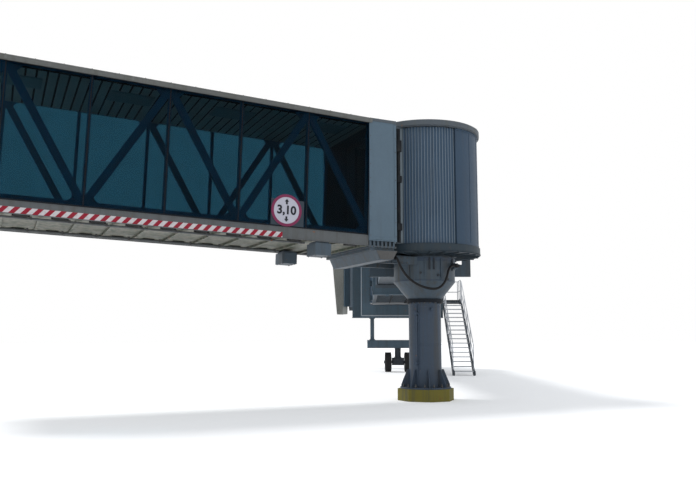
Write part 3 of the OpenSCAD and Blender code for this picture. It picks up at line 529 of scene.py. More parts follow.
# Gusset plates and bolts where the truss bars meet, in turn on the bottom and the top chord
GUSSET_Y, GUSSET_T = 1.171, 0.01
BOTTOM_HALF, TOP_HALF = 0.06, 0.03
GUSSET_BOLTS = ((-0.24, 0), (-0.12, 0), (0.12, 0), (0.24, 0), (-0.1, 0.13), (0.1, 0.13))
for side in SIDES:
    for k in range(BAYS + 1):
        x = -k * BAY
        h, z, d = (TOP_HALF, GLASS_H - TOP_HALF, -1) if k % 2 else (BOTTOM_HALF, BOTTOM_HALF, 1)
        plate = [(-0.3, -h), (0.3, -h), (0.3, h), (0.15, 0.2), (-0.15, 0.2), (-0.3, h)]
        pts = [(min(max(x + a, -LENGTH), 0), z + d * b) for a, b in plate]
        clean = [p for i, p in enumerate(pts) if (Vector(p) - Vector(pts[i - 1])).length > 0.001]
        prism(bm, clean, axes(EX, EZ, (0, side, 0), (0, side * GUSSET_Y, 0)), GUSSET_T)
        for a, b in GUSSET_BOLTS:
            if -LENGTH + 0.03 < x + a < -0.03:
                bolt(bolts, (x + a, side * GUSSET_Y, z + d * b), (0, -side, 0), 0.014, 0.013)
piece("truss_gussets", "fixed", "truss", bm, SLOPED)
piece("truss_bolts", "fixed", "truss", bolts, SLOPED)

# Flanges of the edge beams, bolted splices on the far side and thin joints on the near side
twin_boxes(bm, -LENGTH, 0, EDGE_OUT - 0.02, EDGE_OUT + 0.012, -0.252, -0.24)
twin_boxes(bm, -LENGTH, 0, EDGE_OUT, EDGE_OUT + 0.009, -0.012, 0.0, 0.002)
for x in series(0.4 - 2 * BAY, -2 * BAY, 3):
    side_box(bm, 1, x - 0.14, x + 0.14, EDGE_OUT, EDGE_OUT + 0.008, -0.22, -0.02, 0.002)
    for a in (-0.1, -0.04, 0.04, 0.1):
        for z in (-0.19, -0.05):
            bolt(bolts, (x + a, EDGE_OUT + 0.008, z), EY, 0.012, 0.012)
    side_box(bm, -1, x - 0.006, x + 0.006, EDGE_OUT, EDGE_OUT + 0.003, -0.118, -0.02, 0)
piece("edge_beam_flanges", "fixed", "edge", bm, SLOPED)
piece("edge_beam_bolts", "fixed", "bolt", bolts, SLOPED)

# Pipes as (y, radius), clips, black blocks and brackets under the floor, between joists at one pitch; the
# black blocks between the joists stand for the dark notches of shade there, as painted shade
PIPES = ((-1.06, 0.022), (-0.98, 0.015), (0.62, 0.03))
PIPE_TOP, JOIST, JOIST_FOOT = -0.262, 0.7, -0.252
for y, r in PIPES:
    rod(bm, (-LENGTH + 0.02, y, PIPE_TOP - r), (-1.5, y, PIPE_TOP - r), r, 14)
    for x in series(-1.6, -JOIST, 12):
        box(clips, x - 0.02, x + 0.02, y - r - 0.012, y + r + 0.012, -0.266 - 2 * r, -0.24)
piece("underfloor_pipes", "fixed", "edge", bm, SLOPED)
piece("underfloor_clips", "fixed", "bolt", clips, SLOPED)
# Black blocks between the joists at both edges: painted shade for the dark notches between the joists
for x in series(-0.38, -JOIST, 13):
    if not -1.5 < x < -0.8:
        twin_boxes(bm, x - 0.13, x + 0.13, 1.0, 1.19, -0.256, -0.15, 0.02)
        twin_rods(bm, (x - 0.16, 1.1, -0.235), (x + 0.16, 1.1, -0.235), 0.03)
piece("underfloor_shade_blocks", "fixed", "black", bm, SLOPED)
for x in series(-0.03, -JOIST, 14):
    twin_boxes(bm, x - 0.05, x + 0.05, 1.09, 1.203, JOIST_FOOT, -0.24)
    for side in SIDES:
        rib = [(0, 0), (side * -0.11, 0), (0, -0.05)]
        prism(bm, rib, axes(EY, EZ, EX, (x - 0.005, side * 1.203, -0.19)), 0.01)
piece("joist_brackets", "fixed", "soffit", bm, SLOPED)

# Round height sign
SIGN = (-2.05, -1.293, 0.375)
SIGN_R, FACE_R, SHEET = 0.36, 0.3, 0.003
sign_face = axes(EX, EZ, EY, SIGN)


def on_sign(name, mat, outline, lift):
    """A thin flat shape on the front of the sign."""
    prism(bm, outline, sign_face @ shift(0, 0, -lift - SHEET), SHEET)
    piece(name, "fixed", mat, bm, SLOPED, smooth=0)


rim = [(FACE_R - 0.002, 0), (SIGN_R, 0), (SIGN_R, 0.004), (FACE_R - 0.002, 0.004)]
lathe(bm, rim, sign_face @ shift(0, 0, -0.004), 72)
piece("sign_ring", "fixed", "sign_red", bm, SLOPED)
on_sign("sign_face", "sign_white", circle(FACE_R, 64), 0)
ARROW = [
    (0, 0.07), (0.052, 0.005), (0.022, 0.005), (0.022, -0.055), (-0.022, -0.055), (-0.022, 0.005),
    (-0.052, 0.005),
]
for name, d in (("sign_arrow_top", 1), ("sign_arrow_bottom", -1)):
    on_sign(name, "sign_black", [(a, d * (0.19 + b)) for a, b in ARROW], SHEET)
words = bpy.data.curves.new("sign_number", "FONT")
words.body = "3,10"
words.size = 0.265
words.align_x = "CENTER"
words.align_y = "CENTER"
words.extrude = SHEET / 2
words.offset = 0.009
text = linked("sign_number", words)
bpy.context.view_layer.update()
mesh = bpy.data.meshes.new_from_object(text.evaluated_get(bpy.context.evaluated_depsgraph_get()))
bpy.data.objects.remove(text)
bm.from_mesh(mesh)
bmesh.ops.remove_doubles(bm, verts=bm.verts[:], dist=0.0002)
bm.transform(axes(EX, EZ, (0, -1, 0), (SIGN[0], SIGN[1] - 1.5 * SHEET, SIGN[2])))
piece("sign_digits", "fixed", "sign_black", bm, SLOPED, smooth=0)

# Portal: corner strips, sills, bolts, top band with lifting pegs, and the ends of the bracket beam
PORTAL = (1.33, 1.34)
for x in (-2.3, -1.63):
    twin_boxes(bm, x, x + 0.06, *PORTAL, 3.85, 6.69)
twin_boxes(bm, -2.24, -1.63, *PORTAL, 3.86, 3.91)
twin_boxes(bm, -2.3, -1.57, *PORTAL, 3.832, 3.852, 0.002)
for z in series(3.95, 0.34, 9):
    for x in (-2.27, -1.6):
        twin_bolts(bolts, x, PORTAL[1], z, 0.009, 0.009)
piece("portal_trim", "fixed", "portal", bm)
piece("portal_bolts", "fixed", "bolt", bolts)
twin_boxes(bm, -2.305, -1.57, PORTAL[0], PORTAL[1] + 0.003, 6.695, 6.765)
twin_rods(bm, (-2.0, 1.2, 6.77), (-2.0, 1.2, 6.81), 0.03, 16, 0.004)
piece("portal_top_band", "fixed", "fascia", bm)
BRACKET_END = [(-2.108, 3.608), (-2.002, 3.402), (-1.666, 3.42), (-1.552, 3.608)]
for x in series(-2.27, 0.095, 8):
    twin_bolts(bm, x, 1.3, 3.7, 0.013, 0.012)
for side in SIDES:
    prism(bm, BRACKET_END, axes(EX, EZ, (0, side, 0), (0, side * 1.3, 0)), 0.008)
piece("bracket_end_plates", "fixed", "bolt", bm)

# Pipe with hinge boxes in the gap beside the jamb, and plates on the jamb
JAMB_Y, JAMB_FOOT, JAMB_TOP = 0.82, 3.9, 6.76
twin_rods(bm, (-1.245, 0.85, JAMB_FOOT), (-1.245, 0.85, JAMB_TOP), 0.02)
twin_boxes(bm, -1.31, -1.17, JAMB_Y, JAMB_Y + 0.008, JAMB_FOOT - 0.01, JAMB_TOP + 0.01, 0.002)
for z0, z1 in ((4.19, 4.36), (5.38, 5.55), (6.16, 6.45)):
    twin_boxes(bm, -1.3, -1.17, 0.825, 0.91, z0, z1, 0.006)
piece("portal_cable_pipe", "fixed", "gasket", bm)
twin_boxes(bm, -1.55, -1.42, JAMB_Y, JAMB_Y + 0.012, JAMB_FOOT, JAMB_TOP)
for z in series(4.4, 0.9, 3):
    twin_boxes(bm, -1.53, -1.44, JAMB_Y + 0.012, JAMB_Y + 0.035, z - 0.07, z + 0.07, 0.005)
piece("jamb_plates", "fixed", "jamb", bm)

# Rotunda roof: fascia with joint covers, radial seams round a hub cap
arc_strip(bm, 1.476, 1.4815, 6.822, 6.935, 0, 360)
arc_strip(bm, 1.425, 1.478, 6.79, 6.8, 0, 360)
for angle in series(7.5, 30, 12):
    upright(bm, 1.48, 1.483, 6.802, 6.938, angle, 0.9)
piece("roof_fascia", "rotunda", "fascia", bm)
HUB_CAP = [(0.0001, 6.97), (0.17, 6.97), (0.17, 6.982), (0.15, 6.985), (0.0001, 6.985)]
for angle in series(0, 22.5, 16):
    rod(bm, polar(angle, 0.14, 6.974), polar(angle, 1.42, 6.955), 0.012, 6)
lathe(bm, HUB_CAP, PART, 24)
piece("rotunda_roof_seams", "rotunda", "fascia", bm)

# Rotunda floor: its rim, which ends clear of the tunnel's floor, bolts and radial ribs, in the ring
# colour that is darkened as painted shade
RIM_START, RIM_END = 114, 372
arc_strip(bm, 1.438, 1.452, 3.69, 3.86, RIM_START, RIM_END)
arc_strip(bm, 1.43, 1.462, 3.69, 3.702, RIM_START, RIM_END)
piece("rotunda_floor_rim", "rotunda", "ring", bm)
for angle in series(5, 15, 24):
    bolt(bm, polar(angle, 1.36, 3.67), (0, 0, -1), 0.016, 0.02)
    rod(bm, polar(angle, 0.85, 3.655), polar(angle, 1.42, 3.655), 0.016, 6)
piece("rotunda_floor_bolts", "rotunda", "ring", bm)

# Smooth shell: seams, rub strips along its edges, rivets
SHELL_R = 1.419
SEAM_ANGLES = series(-66, 20, 4)
for angle in (*SEAM_ANGLES, 116.2):
    upright(bm, SHELL_R, SHELL_R + 0.007, 3.88, 6.79, angle, 0.55)
for z in (3.875, 6.74):
    for a0, a1 in ((-86.9, 13.5), (112.8, 116.9)):
        arc_strip(bm, SHELL_R, SHELL_R + 0.009, z, z + 0.05, a0, a1)
piece("side_panel_seams", "rotunda", "panel", bm)
for angle in SEAM_ANGLES:
    for z in series(4.0, 0.245, 12):
        bolt(bm, polar(angle, SHELL_R + 0.007, z), polar(angle, 1, 0), 0.007, 0.008)
piece("side_panel_rivets", "rotunda", "bolt", bm)

# Painted highlights on the crests of the curtains' slats, as (first angle, count)
SLAT_PITCH, CREST_R = 3.15, 1.378
for first, count in ((-142.125, 27), (115.075, 11)):
    for angle in series(first, SLAT_PITCH, count):
        upright(bm, CREST_R, CREST_R + 0.0075, 3.885, 6.785, angle, 0.28)
piece("slat_crests", "fixed", "slat_highlight", bm)

# Dark seal on the column's top flange
lathe(bm, [(0.456, 2.476), (0.464, 2.476), (0.464, 2.564), (0.456, 2.564)])
lathe(bm, [(0.41, 2.565), (0.43, 2.562), (0.43, 2.58), (0.41, 2.59)])
piece("flange_seal", "fixed", "seal", bm)

# Guide rollers over the near curtain
for angle in series(-146, 10, 9):
    rod(bm, polar(angle, 1.4, 6.775), polar(angle, 1.4, 6.8), 0.02, 10)
piece("curtain_rollers", "rotunda", "bolt", bm)

# Column: flange bolts, anchor bolts with nuts, weld bands, conduits and their boxes
COLUMN_R, ANCHOR_R = 0.41, 0.59
for angle in series(4, 18, 20):
    bolt(bolts, polar(angle, 0.437, 2.48), (0, 0, -1), 0.02, 0.03)
for angle in series(11.25, 22.5, 16):
    rod(bolts, polar(angle, ANCHOR_R, 0.3403), polar(angle, ANCHOR_R, 0.42), 0.016, 10)
    rod(bolts, polar(angle, ANCHOR_R, 0.345), polar(angle, ANCHOR_R, 0.375), 0.032, 6, 0.002)
piece("column_bolts", "fixed", "bolt", bolts)
lathe(bm, [(0.412, 2.36), (0.424, 2.362), (0.424, 2.378), (0.412, 2.38)])
lathe(bm, [(0.412, 1.395), (0.4205, 1.398), (0.4205, 1.412), (0.412, 1.415)])
lathe(bm, [(0.787, 3.006), (0.797, 3.01), (0.797, 3.03), (0.787, 3.034)], PART, 72)
lathe(bm, [(0.787, 3.5), (0.8, 3.505), (0.8, 3.6), (0.787, 3.605)], PART, 72)
piece("column_weld_bands", "fixed", "column", bm)
for angle, z0, z1, r in ((-150, 0.6, 2.42, 0.016), (-144, 0.9, 2.42, 0.011), (38, 0.5, 2.4, 0.02)):
    rod(bm, polar(angle, COLUMN_R + 0.005 + r, z0), polar(angle, COLUMN_R + 0.005 + r, z1), r)
    for z in (0.8, 1.4, 2.0):
        rod(bm, polar(angle - 3, COLUMN_R + 0.008, z), polar(angle + 3, COLUMN_R + 0.008, z), 0.02, 8)
for angle, z, half in ((-152, 2.2, 0.07), (-152, 0.95, 0.06), (-100, 2.3, 0.04)):
    rod(bm, polar(angle, COLUMN_R, z), polar(angle, COLUMN_R + 0.09, z), half, 4, 0.006)
piece("column_conduit", "fixed", "column", bm)

# Head of the column: round pads, short pipes, bolts and lips of the bracket beams
for angle, z in ((-96, 3.14), (-128, 3.2), (-75, 3.05)):
    rod(bm, polar(angle, 0.79, z), polar(angle, 0.83, z), 0.03, 12, 0.003)
for angle in (-104, -112, -60):
    rod(bm, polar(angle, 0.81, 3.28), polar(angle, 0.81, 3.58), 0.022, 10)
piece("head_fittings", "fixed", "bogie", bm)
BEAM_Y = 0.575
for x in (-0.85, -1.0, -1.4, -1.6):
    for z in (3.44, 3.56):
        twin_bolts(bm, x, BEAM_Y, z, 0.014, 0.014)
for side in SIDES:
    for x in (-1.3, -0.98):
        for y in (0.84, 1.04, 1.24):
            bolt(bm, SLOPED @ Vector((x, side * y, -0.555)), (0, 0, -1), 0.015, 0.015)
piece("bracket_bolts", "fixed", "bolt", bm)
twin_boxes(bm, -1.69, -0.85, BEAM_Y, BEAM_Y + 0.045, 3.4, 3.41, 0.002)
twin_boxes(bm, -1.69, -0.85, BEAM_Y, BEAM_Y + 0.045, 3.588, 3.6, 0.002)
twin_boxes(bm, -1.3, -1.29, BEAM_Y, BEAM_Y + 0.045, 3.41, 3.588, 0)
piece("bracket_lips", "fixed", "steel", bm)

# Hanging cable and the collars at its ends
CABLE_D, CABLE_LENGTH = 0.06, 2.37
ROUTE = [
    (-1.24, -0.655, 3.55), (-1.24, -0.69, 3.55), (-1.225, -0.725, 3.52), (-1.19, -0.735, 3.43),
    (-1.13, -0.74, 3.3), (-1.04, -0.745, 3.17), (-0.93, -0.75, 3.05), (-0.8, -0.77, 2.95),
    (-0.66, -0.81, 2.87), (-0.51, -0.85, 2.815), (-0.36, -0.885, 2.785), (-0.22, -0.91, 2.785),
    (-0.11, -0.925, 2.83), (-0.02, -0.935, 2.91), (0.05, -0.935, 3.01), (0.1, -0.925, 3.12),
    (0.135, -0.915, 3.23), (0.185, -0.9, 3.32), (0.25, -0.88, 3.375), (0.32, -0.865, 3.39),
    (0.37, -0.86, 3.39), (0.4, -0.86, 3.39),
]
curve = bpy.data.curves.new("power_cable", "CURVE")
curve.dimensions = "3D"
curve.bevel_depth = CABLE_D / 2
curve.bevel_resolution = 4
curve.resolution_u = 6
curve.use_fill_caps = True
spline = curve.splines.new("NURBS")
spline.points.add(len(ROUTE) - 1)
for point, co in zip(spline.points, ROUTE):
    point.co = (*co, 1)
spline.order_u = 3
spline.use_endpoint_u = True
curve.materials.append(mats["cable"])
cable = linked("power_cable", curve)
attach(cable, "fixed")
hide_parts("hanging_cable")
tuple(ROUTE[0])
rod(bm, ROUTE[0], (-1.24, -0.672, 3.55), 0.044, 16, 0.004)
rod(bm, (0.385, -0.86, 3.39), ROUTE[-1], 0.038, 16, 0.003)
piece("cable_collars", "fixed", "cable", bm)


# Telescoping tunnels, with r counted along them from the column
def wall_ribs(bm, r0, r1, y, z0, z1, pitch, height, width, skip=lambda side, r: False):
    """Pressed upright ribs on both side walls, with sloping flanks."""
    half = width / 2
    outline = [(-half, 0), (-half + 0.012, height), (half - 0.012, height), (half, 0)]
    for r in series(r0, pitch, int((r1 - r0) / pitch) + 1):
        for side in SIDES:
            if not skip(side, r):
                prism(bm, outline, axes(EX, (0, side, 0), EZ, (r, side * y, z0)), z1 - z0)


# Inner tunnel
A_START, A_END, A_HALF, A_FLOOR, A_TOP = 1.5, 10.55, 1.03, 3.85, 6.25
A_RIB = 0.011
wall_ribs(bm, 2.0, 10.4, A_HALF, 3.86, 6.19, 0.28, A_RIB, 0.09)
for r0, r1, z0, z1 in ((1.55, 10.6, 3.76, 3.85), (1.55, 10.6, 6.2, 6.245), (1.6, 1.66, 3.85, 6.2)):
    twin_boxes(bm, r0, r1, A_HALF, A_HALF + A_RIB, z0, z1)
piece("tunnel_a_ribs", "tunnel_a", "wall", bm, TILTED)
for r in series(1.7, 0.85, 11):
    box(bm, r - 0.03, r + 0.03, -1.02, 1.02, A_TOP, A_TOP + 0.012, 0.004)
twin_boxes(bm, A_START, A_END, 0.99, A_HALF, A_TOP, A_TOP + 0.012)
piece("tunnel_a_roof_seams", "tunnel_a", "roof", bm, TILTED)
box(bm, A_START, A_END, -0.975, 0.975, A_FLOOR, A_FLOOR + 0.006, 0.001)
twin_boxes(bm, A_START, A_END, 0.96, 0.98, A_FLOOR, A_FLOOR + 0.12, 0.004)
piece("tunnel_a_lining", "tunnel_a", "deck", bm, TILTED)
for r in series(1.75, 0.35, 3):
    box(bm, r, r + 0.05, -0.95, 0.95, 3.715, 3.75, 0.004)
piece("tunnel_a_floor_ribs", "tunnel_a", "floor_frame", bm, TILTED)

# Outer tunnel
LIFT_R, B_START, B_END, B_HALF, B_TOP = 15.1, 8.2, 16.1, 1.14, 6.36
B_RIB = 0.018


def at_fittings(side, r):
    """Where the lift frame and, on the near side, the service door stand."""
    return abs(r - LIFT_R) < 0.35 or (side < 0 and 15.5 < r < 16.62)


wall_ribs(bm, 8.4, 16.3, B_HALF, 3.76, 6.3, 0.3, B_RIB, 0.1, at_fittings)
twin_boxes(bm, B_START, 14.85, B_HALF, B_HALF + 0.022, 3.62, 3.73, 0.004)
twin_boxes(bm, B_START, B_END, B_HALF, B_HALF + 0.022, 6.3, 6.355, 0.004)
piece("tunnel_b_ribs", "tunnel_b", "wall", bm, TILTED)
for r in series(8.6, 0.8, 10):
    box(bm, r - 0.03, r + 0.03, -1.13, 1.13, B_TOP, B_TOP + 0.016, 0.004)
twin_boxes(bm, B_START, B_END, 1.1, B_HALF, B_TOP, B_TOP + 0.024)
piece("tunnel_b_roof_seams", "tunnel_b", "roof", bm, TILTED)
for r in series(8.45, 0.6, 10):
    box(bm, r, r + 0.06, -1.13, 1.13, 3.565, 3.61, 0.004)
twin_boxes(bm, B_START, 14.5, 1.02, B_HALF, 3.55, 3.61, 0.004)
piece("tunnel_b_floor_ribs", "tunnel_b", "floor_frame", bm, TILTED)
for y in (-0.35, -0.29, 0.4):
    rod(bm, (8.3, y, 3.545), (14.4, y, 3.545), 0.02)
for r in series(8.5, 0.62, 10):
    box(bm, r, r + 0.03, -0.39, -0.25, 3.52, 3.57)
piece("tunnel_b_conduits", "tunnel_b", "gasket", bm, TILTED)

# Rear frame of the outer tunnel: face plates, roller housings, rollers and bolts
REAR, REAR_HALF, REAR_FOOT, REAR_TOP = (7.985, 8.0), 1.25, 3.36, 6.47
for z in (REAR_FOOT, REAR_TOP - 0.06):
    box(bm, *REAR, -REAR_HALF, REAR_HALF, z, z + 0.06)
twin_boxes(bm, *REAR, REAR_HALF - 0.06, REAR_HALF, REAR_FOOT, REAR_TOP)
for z in series(3.5, 0.8, 4):
    twin_boxes(bm, 8.03, 8.17, REAR_HALF, REAR_HALF + 0.035, z, z + 0.18, 0.008)
    twin_bolts(bolts, 8.06, REAR_HALF + 0.035, z + 0.05, 0.01, 0.01)
    twin_bolts(bolts, 8.14, REAR_HALF + 0.035, z + 0.13, 0.01, 0.01)
for z in series(3.5, 0.255, 12):
    twin_bolts(bolts, REAR[0], 1.22, z, 0.01, 0.01, (-1, 0, 0))
for y in (-0.7, 0.7):
    rod(bm, (8.1, y - 0.06, REAR_FOOT), (8.1, y + 0.06, REAR_FOOT), 0.05, 20, 0.004)
piece("rear_frame_plates", "tunnel_b", "frame", bm, TILTED)
piece("rear_frame_bolts", "tunnel_b", "bolt", bolts, TILTED)

# Service door: frame, kick plate, hinges, handle and window
DOOR_R, DOOR_TOP, LEAF = (15.56, 16.49), 5.8, (-1.137, -1.13)
for r0, r1, z0 in ((DOOR_R[0], 15.6, 3.73), (16.45, DOOR_R[1], 3.73), (*DOOR_R, 5.75)):
    box(bm, r0, r1, -B_HALF - 0.02, -B_HALF, z0, DOOR_TOP)
box(bm, 15.66, 16.39, *LEAF, 3.8, 4.15, 0.002)
for z in series(4.0, 0.75, 3):
    rod(bm, (15.61, -1.138, z), (15.61, -1.138, z + 0.1), 0.012, 10)
piece("service_door_frame", "tunnel_b", "portal", bm, TILTED)
HANDLE_Z = 4.74
box(bm, 16.33, 16.39, *LEAF, 4.6, 4.85, 0.002)
rod(bm, (16.36, LEAF[0], HANDLE_Z), (16.36, -1.175, HANDLE_Z), 0.01)
rod(bm, (16.37, -1.17, HANDLE_Z), (16.25, -1.17, HANDLE_Z), 0.011, 12, 0.002)
piece("service_door_handle", "tunnel_b", "bright", bm, TILTED)
box(bm, 15.85, 16.2, -1.136, -1.13, 4.95, 5.5, 0.002)
piece("service_door_gasket", "tunnel_b", "gasket", bm, TILTED)
box(bm, 15.88, 16.17, -1.139, -1.134, 4.98, 5.47, 0.001)
piece("service_door_window", "tunnel_b", "window", bm, TILTED)

# Lift frame: plates and stiffeners on its two faces, painted highlights on its edges, bolts
LIFT_HALF, POST_IN, POST_OUT = 0.24, 1.29, 1.66


def face_plate(d, thick, *sizes):
    """A plate on the front or the back face of the lift frame."""
    face = LIFT_R + d * LIFT_HALF
    box(bm, *sorted((face, face + d * thick)), *sizes)


for d in SIDES:
    face = LIFT_R + d * LIFT_HALF
    for side in SIDES:
        face_plate(d, 0.012, *sorted((side * POST_IN, side * POST_OUT)), 3.2, 5.06)
    for z in series(3.28, 0.28, 7):
        for y in (POST_IN + 0.03, POST_OUT - 0.03):
            twin_bolts(bolts, face + d * 0.012, y, z, 0.014, 0.014, (d, 0, 0))
    for y in series(-1.0, 0.5, 5):
        face_plate(d, 0.018, y - 0.012, y + 0.012, 2.66, 3.04)
    face_plate(d, 0.02, -1.25, 1.25, 3.03, 3.075)
    for y in series(-1.16, 0.29, 9):
        bolt(bolts, (face + d * 0.02, y, 3.052), (d, 0, 0), 0.011, 0.011)
# Light strips along the frame's outer and lower edges: painted highlight
twin_boxes(lit_edges, 14.838, 14.86, POST_OUT, POST_OUT + 0.04, 2.58, 5.08, 0.004)
box(lit_edges, 14.83, 14.86, -POST_OUT, POST_OUT, 2.56, 2.61, 0.006)
piece("lift_frame_plates", "lift_frame", "frame", bm, SWUNG)
piece("lift_frame_edges", "lift_frame", "edge_highlight", lit_edges, SWUNG)
piece("lift_frame_bolts", "lift_frame", "bolt", bolts, SWUNG)

# Lift motors, and ribs on the jack covers
MOTOR = [(0.0001, 5.17), (0.13, 5.17), (0.13, 5.36), (0.11, 5.38), (0.0001, 5.38)]
twin_boxes(bm, LIFT_R - 0.2, LIFT_R + 0.2, 1.32, 1.68, 5.1, 5.17, 0.01)
for side in SIDES:
    lathe(bm, MOTOR, shift(LIFT_R, side * 1.5, 0), 32)
twin_rods(bm, (LIFT_R, 1.5, 5.27), (LIFT_R, 1.86, 5.27), 0.07, 20, 0.006)
piece("lift_motors", "lift_frame", "cover", bm, SWUNG)
for y in series(1.8, 0.06, 5):
    for r in (14.908, 15.28):
        twin_boxes(bm, r, r + 0.012, y - 0.008, y + 0.008, 2.52, 4.86, 0.002)
for z in (2.48, 3.3, 4.1, 4.86):
    twin_boxes(bm, LIFT_R - 0.195, LIFT_R + 0.195, 2.1, 2.112, z, z + 0.035)
piece("jack_cover_ribs", "lift_frame", "cover", bm, SWUNG)

# Legs: end plates as (foot of the plate, seat and direction of its bolts), and the beam that joins them
LEG_Y, FLANGE, BEAM_FOOT, BEAM_TOP = 1.18, 0.13, 1.09, 1.46
for z, seat, d in ((BEAM_TOP, BEAM_TOP + 0.025, 1), (2.455, 2.455, -1)):
    twin_boxes(bm, LIFT_R - FLANGE, LIFT_R + FLANGE, LEG_Y - FLANGE, LEG_Y + FLANGE, z, z + 0.025)
    for a in (-0.105, 0.105):
        for b in (-0.105, 0.105):
            twin_bolts(bolts, LIFT_R + a, LEG_Y + b, seat, 0.014, 0.016, (0, 0, d))
twin_boxes(bm, LIFT_R - 0.22, LIFT_R + 0.22, 1.4, 1.415, BEAM_FOOT, BEAM_TOP, 0.004)
for y in series(-1.23, 0.35, 8):
    for r in (LIFT_R - 0.234, LIFT_R + 0.22):
        box(bm, r, r + 0.014, y - 0.01, y + 0.01, BEAM_FOOT + 0.02, BEAM_TOP - 0.02, 0.002)
for z in (BEAM_FOOT, BEAM_TOP - 0.02):
    box(bm, LIFT_R - 0.238, LIFT_R + 0.238, -1.4, 1.4, z, z + 0.02, 0.002)
piece("bogie_beam_flanges", "lift_frame", "frame", bm, SWUNG)
piece("leg_bolts", "lift_frame", "bolt", bolts, SWUNG)

# Bogie: bolted side plates, slewing ring, axle collars
WHEEL_Y = WHEEL_R = 0.45
for d in SIDES:
    inner, outer = LIFT_R + d * 0.17, LIFT_R + d * 0.182
    box(bm, *sorted((inner, outer)), -0.24, 0.24, 0.36, 0.6)
    for y in (-0.19, 0, 0.19):
        for z in (0.41, 0.55):
            bolt(bolts, (outer, y, z), (d, 0, 0), 0.014, 0.014)
lathe(bm, [(0.1, 0.652), (0.165, 0.652), (0.165, 0.69), (0.1, 0.7)], shift(LIFT_R, 0, 0), 40)
twin_rods(bm, (LIFT_R, 0.63, WHEEL_R), (LIFT_R, 0.642, WHEEL_R), 0.075, 24, 0.003)
piece("bogie_plates", "bogie", "bogie", bm, SWUNG)
piece("bogie_bolts", "bogie", "bolt", bolts, SWUNG)

# Wheels: half profiles as (radius, distance from the wheel's middle)
TYRE = [
    (0.262, 0.122), (0.3, 0.14), (0.38, 0.149), (0.425, 0.138), (0.443, 0.118), (0.449, 0.1),
    (0.449, 0.074), (0.438, 0.07), (0.438, 0.056), (0.449, 0.052), (0.449, 0.01), (0.438, 0.006),
]
RIM = [
    (0.0625, 0.1), (0.11, 0.1), (0.13, 0.085), (0.2, 0.07), (0.235, 0.11), (0.268, 0.128),
    (0.268, 0.112), (0.248, 0.095),
]
LUG = [(0.436, -0.009), (0.4495, -0.009), (0.4495, 0.009), (0.436, 0.009)]


def both_halves(profile):
    return profile + [(r, -h) for r, h in profile[::-1]]


for side, name in ((1, "left"), (-1, "right")):
    body = name + "_wheel"
    hub = shift(LIFT_R, side * WHEEL_Y, WHEEL_R) @ turn("X", 90)
    lathe(bm, both_halves(TYRE) + [(0.25, -0.09), (0.25, 0.09)], hub, 72)
    piece("tyre_" + name, body, "tyre", bm, SWUNG, replaces=("wheel_" + name,))
    for angle in series(0, 7.5, 48):
        for z in (-0.132, 0.1):
            prism(bm, LUG, hub @ turn("Z", angle) @ shift(0, 0, z), 0.032)
    piece("tyre_lugs_" + name, body, "tyre", bm, SWUNG)
    lathe(bm, both_halves(RIM), hub, 56)
    piece("rim_" + name, body, "bright", bm, SWUNG)
    for angle in series(0, 36, 10):
        for d in SIDES:
            p, q = hub @ Vector(polar(angle, 0.165, d * 0.077)), hub @ Vector(polar(angle, 0.165, d))
            bolt(bm, p, q - p, 0.013, 0.022)
    piece("wheel_nuts_" + name, body, "bolt", bm, SWUNG)

# Cab: roof edge, wall ribs, seams of the smooth panel
CAB_HALF, CAB_PANEL_R = 1.1, 1.499
arc_strip(bm, 1.518, 1.53, 6.385, 6.45, 50, 310, 4)
piece("cab_roof_trim", "cab", "roof", bm, CAB)
for x in series(1.25, 0.3, 4):
    twin_boxes(bm, x - 0.035, x + 0.035, CAB_HALF, CAB_HALF + 0.014, 3.76, 6.33)
for z0, z1 in ((3.69, 3.76), (6.3, 6.365)):
    twin_boxes(bm, 1.05, 2.43, CAB_HALF, CAB_HALF + 0.018, z0, z1)
piece("cab_wall_ribs", "cab", "wall", bm, CAB)
for angle in (-52, -66, -80, -93):
    upright(bm, CAB_PANEL_R, CAB_PANEL_R + 0.007, 3.74, 6.35, angle, 0.7)
for z0, z1 in ((3.725, 3.77), (6.31, 6.36)):
    arc_strip(bm, CAB_PANEL_R, CAB_PANEL_R + 0.009, z0, z1, -95, -48)
piece("cab_panel_seams", "cab", "panel", bm, CAB)

# Front of the cab: flanges and bolts of the canopy's frame, bumper ribs, floor covering
FLANGE_X = (2.415, 2.43)
twin_boxes(bm, *FLANGE_X, 1.4, 1.44, 3.72, 6.59)
twin_boxes(bm, *FLANGE_X, 1.12, 1.16, 3.72, 6.46)
box(bm, *FLANGE_X, -1.44, 1.44, 6.55, 6.59)
for z in series(3.85, 0.23, 12):
    twin_bolts(bolts, FLANGE_X[1], 1.28, z, 0.011, 0.011, (-1, 0, 0))
piece("canopy_frame_flanges", "cab", "frame", bm, CAB)
piece("canopy_frame_bolts", "cab", "bolt", bolts, CAB)
for z in (3.635, 3.66, 3.685, 3.705):
    box(bm, 2.61, 2.622, -1.03, 1.03, z - 0.006, z + 0.006, 0.002)
for y in series(-0.95, 0.26, 8):
    box(bm, 2.5, 2.6, y, y + 0.02, 3.716, 3.726, 0.002)
piece("bumper_ribs", "cab", "black", bm, CAB)
box(bm, -0.9, 2.45, -0.9, 0.9, 3.72, 3.725, 0.001)
for x in series(1.6, 0.036, 22):
    box(bm, x, x + 0.012, -0.95, 0.95, 3.725, 3.729, 0)
piece("cab_floor_covering", "cab", "deck", bm, CAB)

# Folded canopy, one pleated cloth hung round three sides, deeper at its top than at its foot
CANOPY_X, DEPTH, LEAN = 2.503, 0.545, 0.545
FOLDS, FOLD, ROWS_PER_FOLD = 9, 0.315, 4
BASE_Z, TOP_Z, HALF = 3.335, 6.615, 1.495


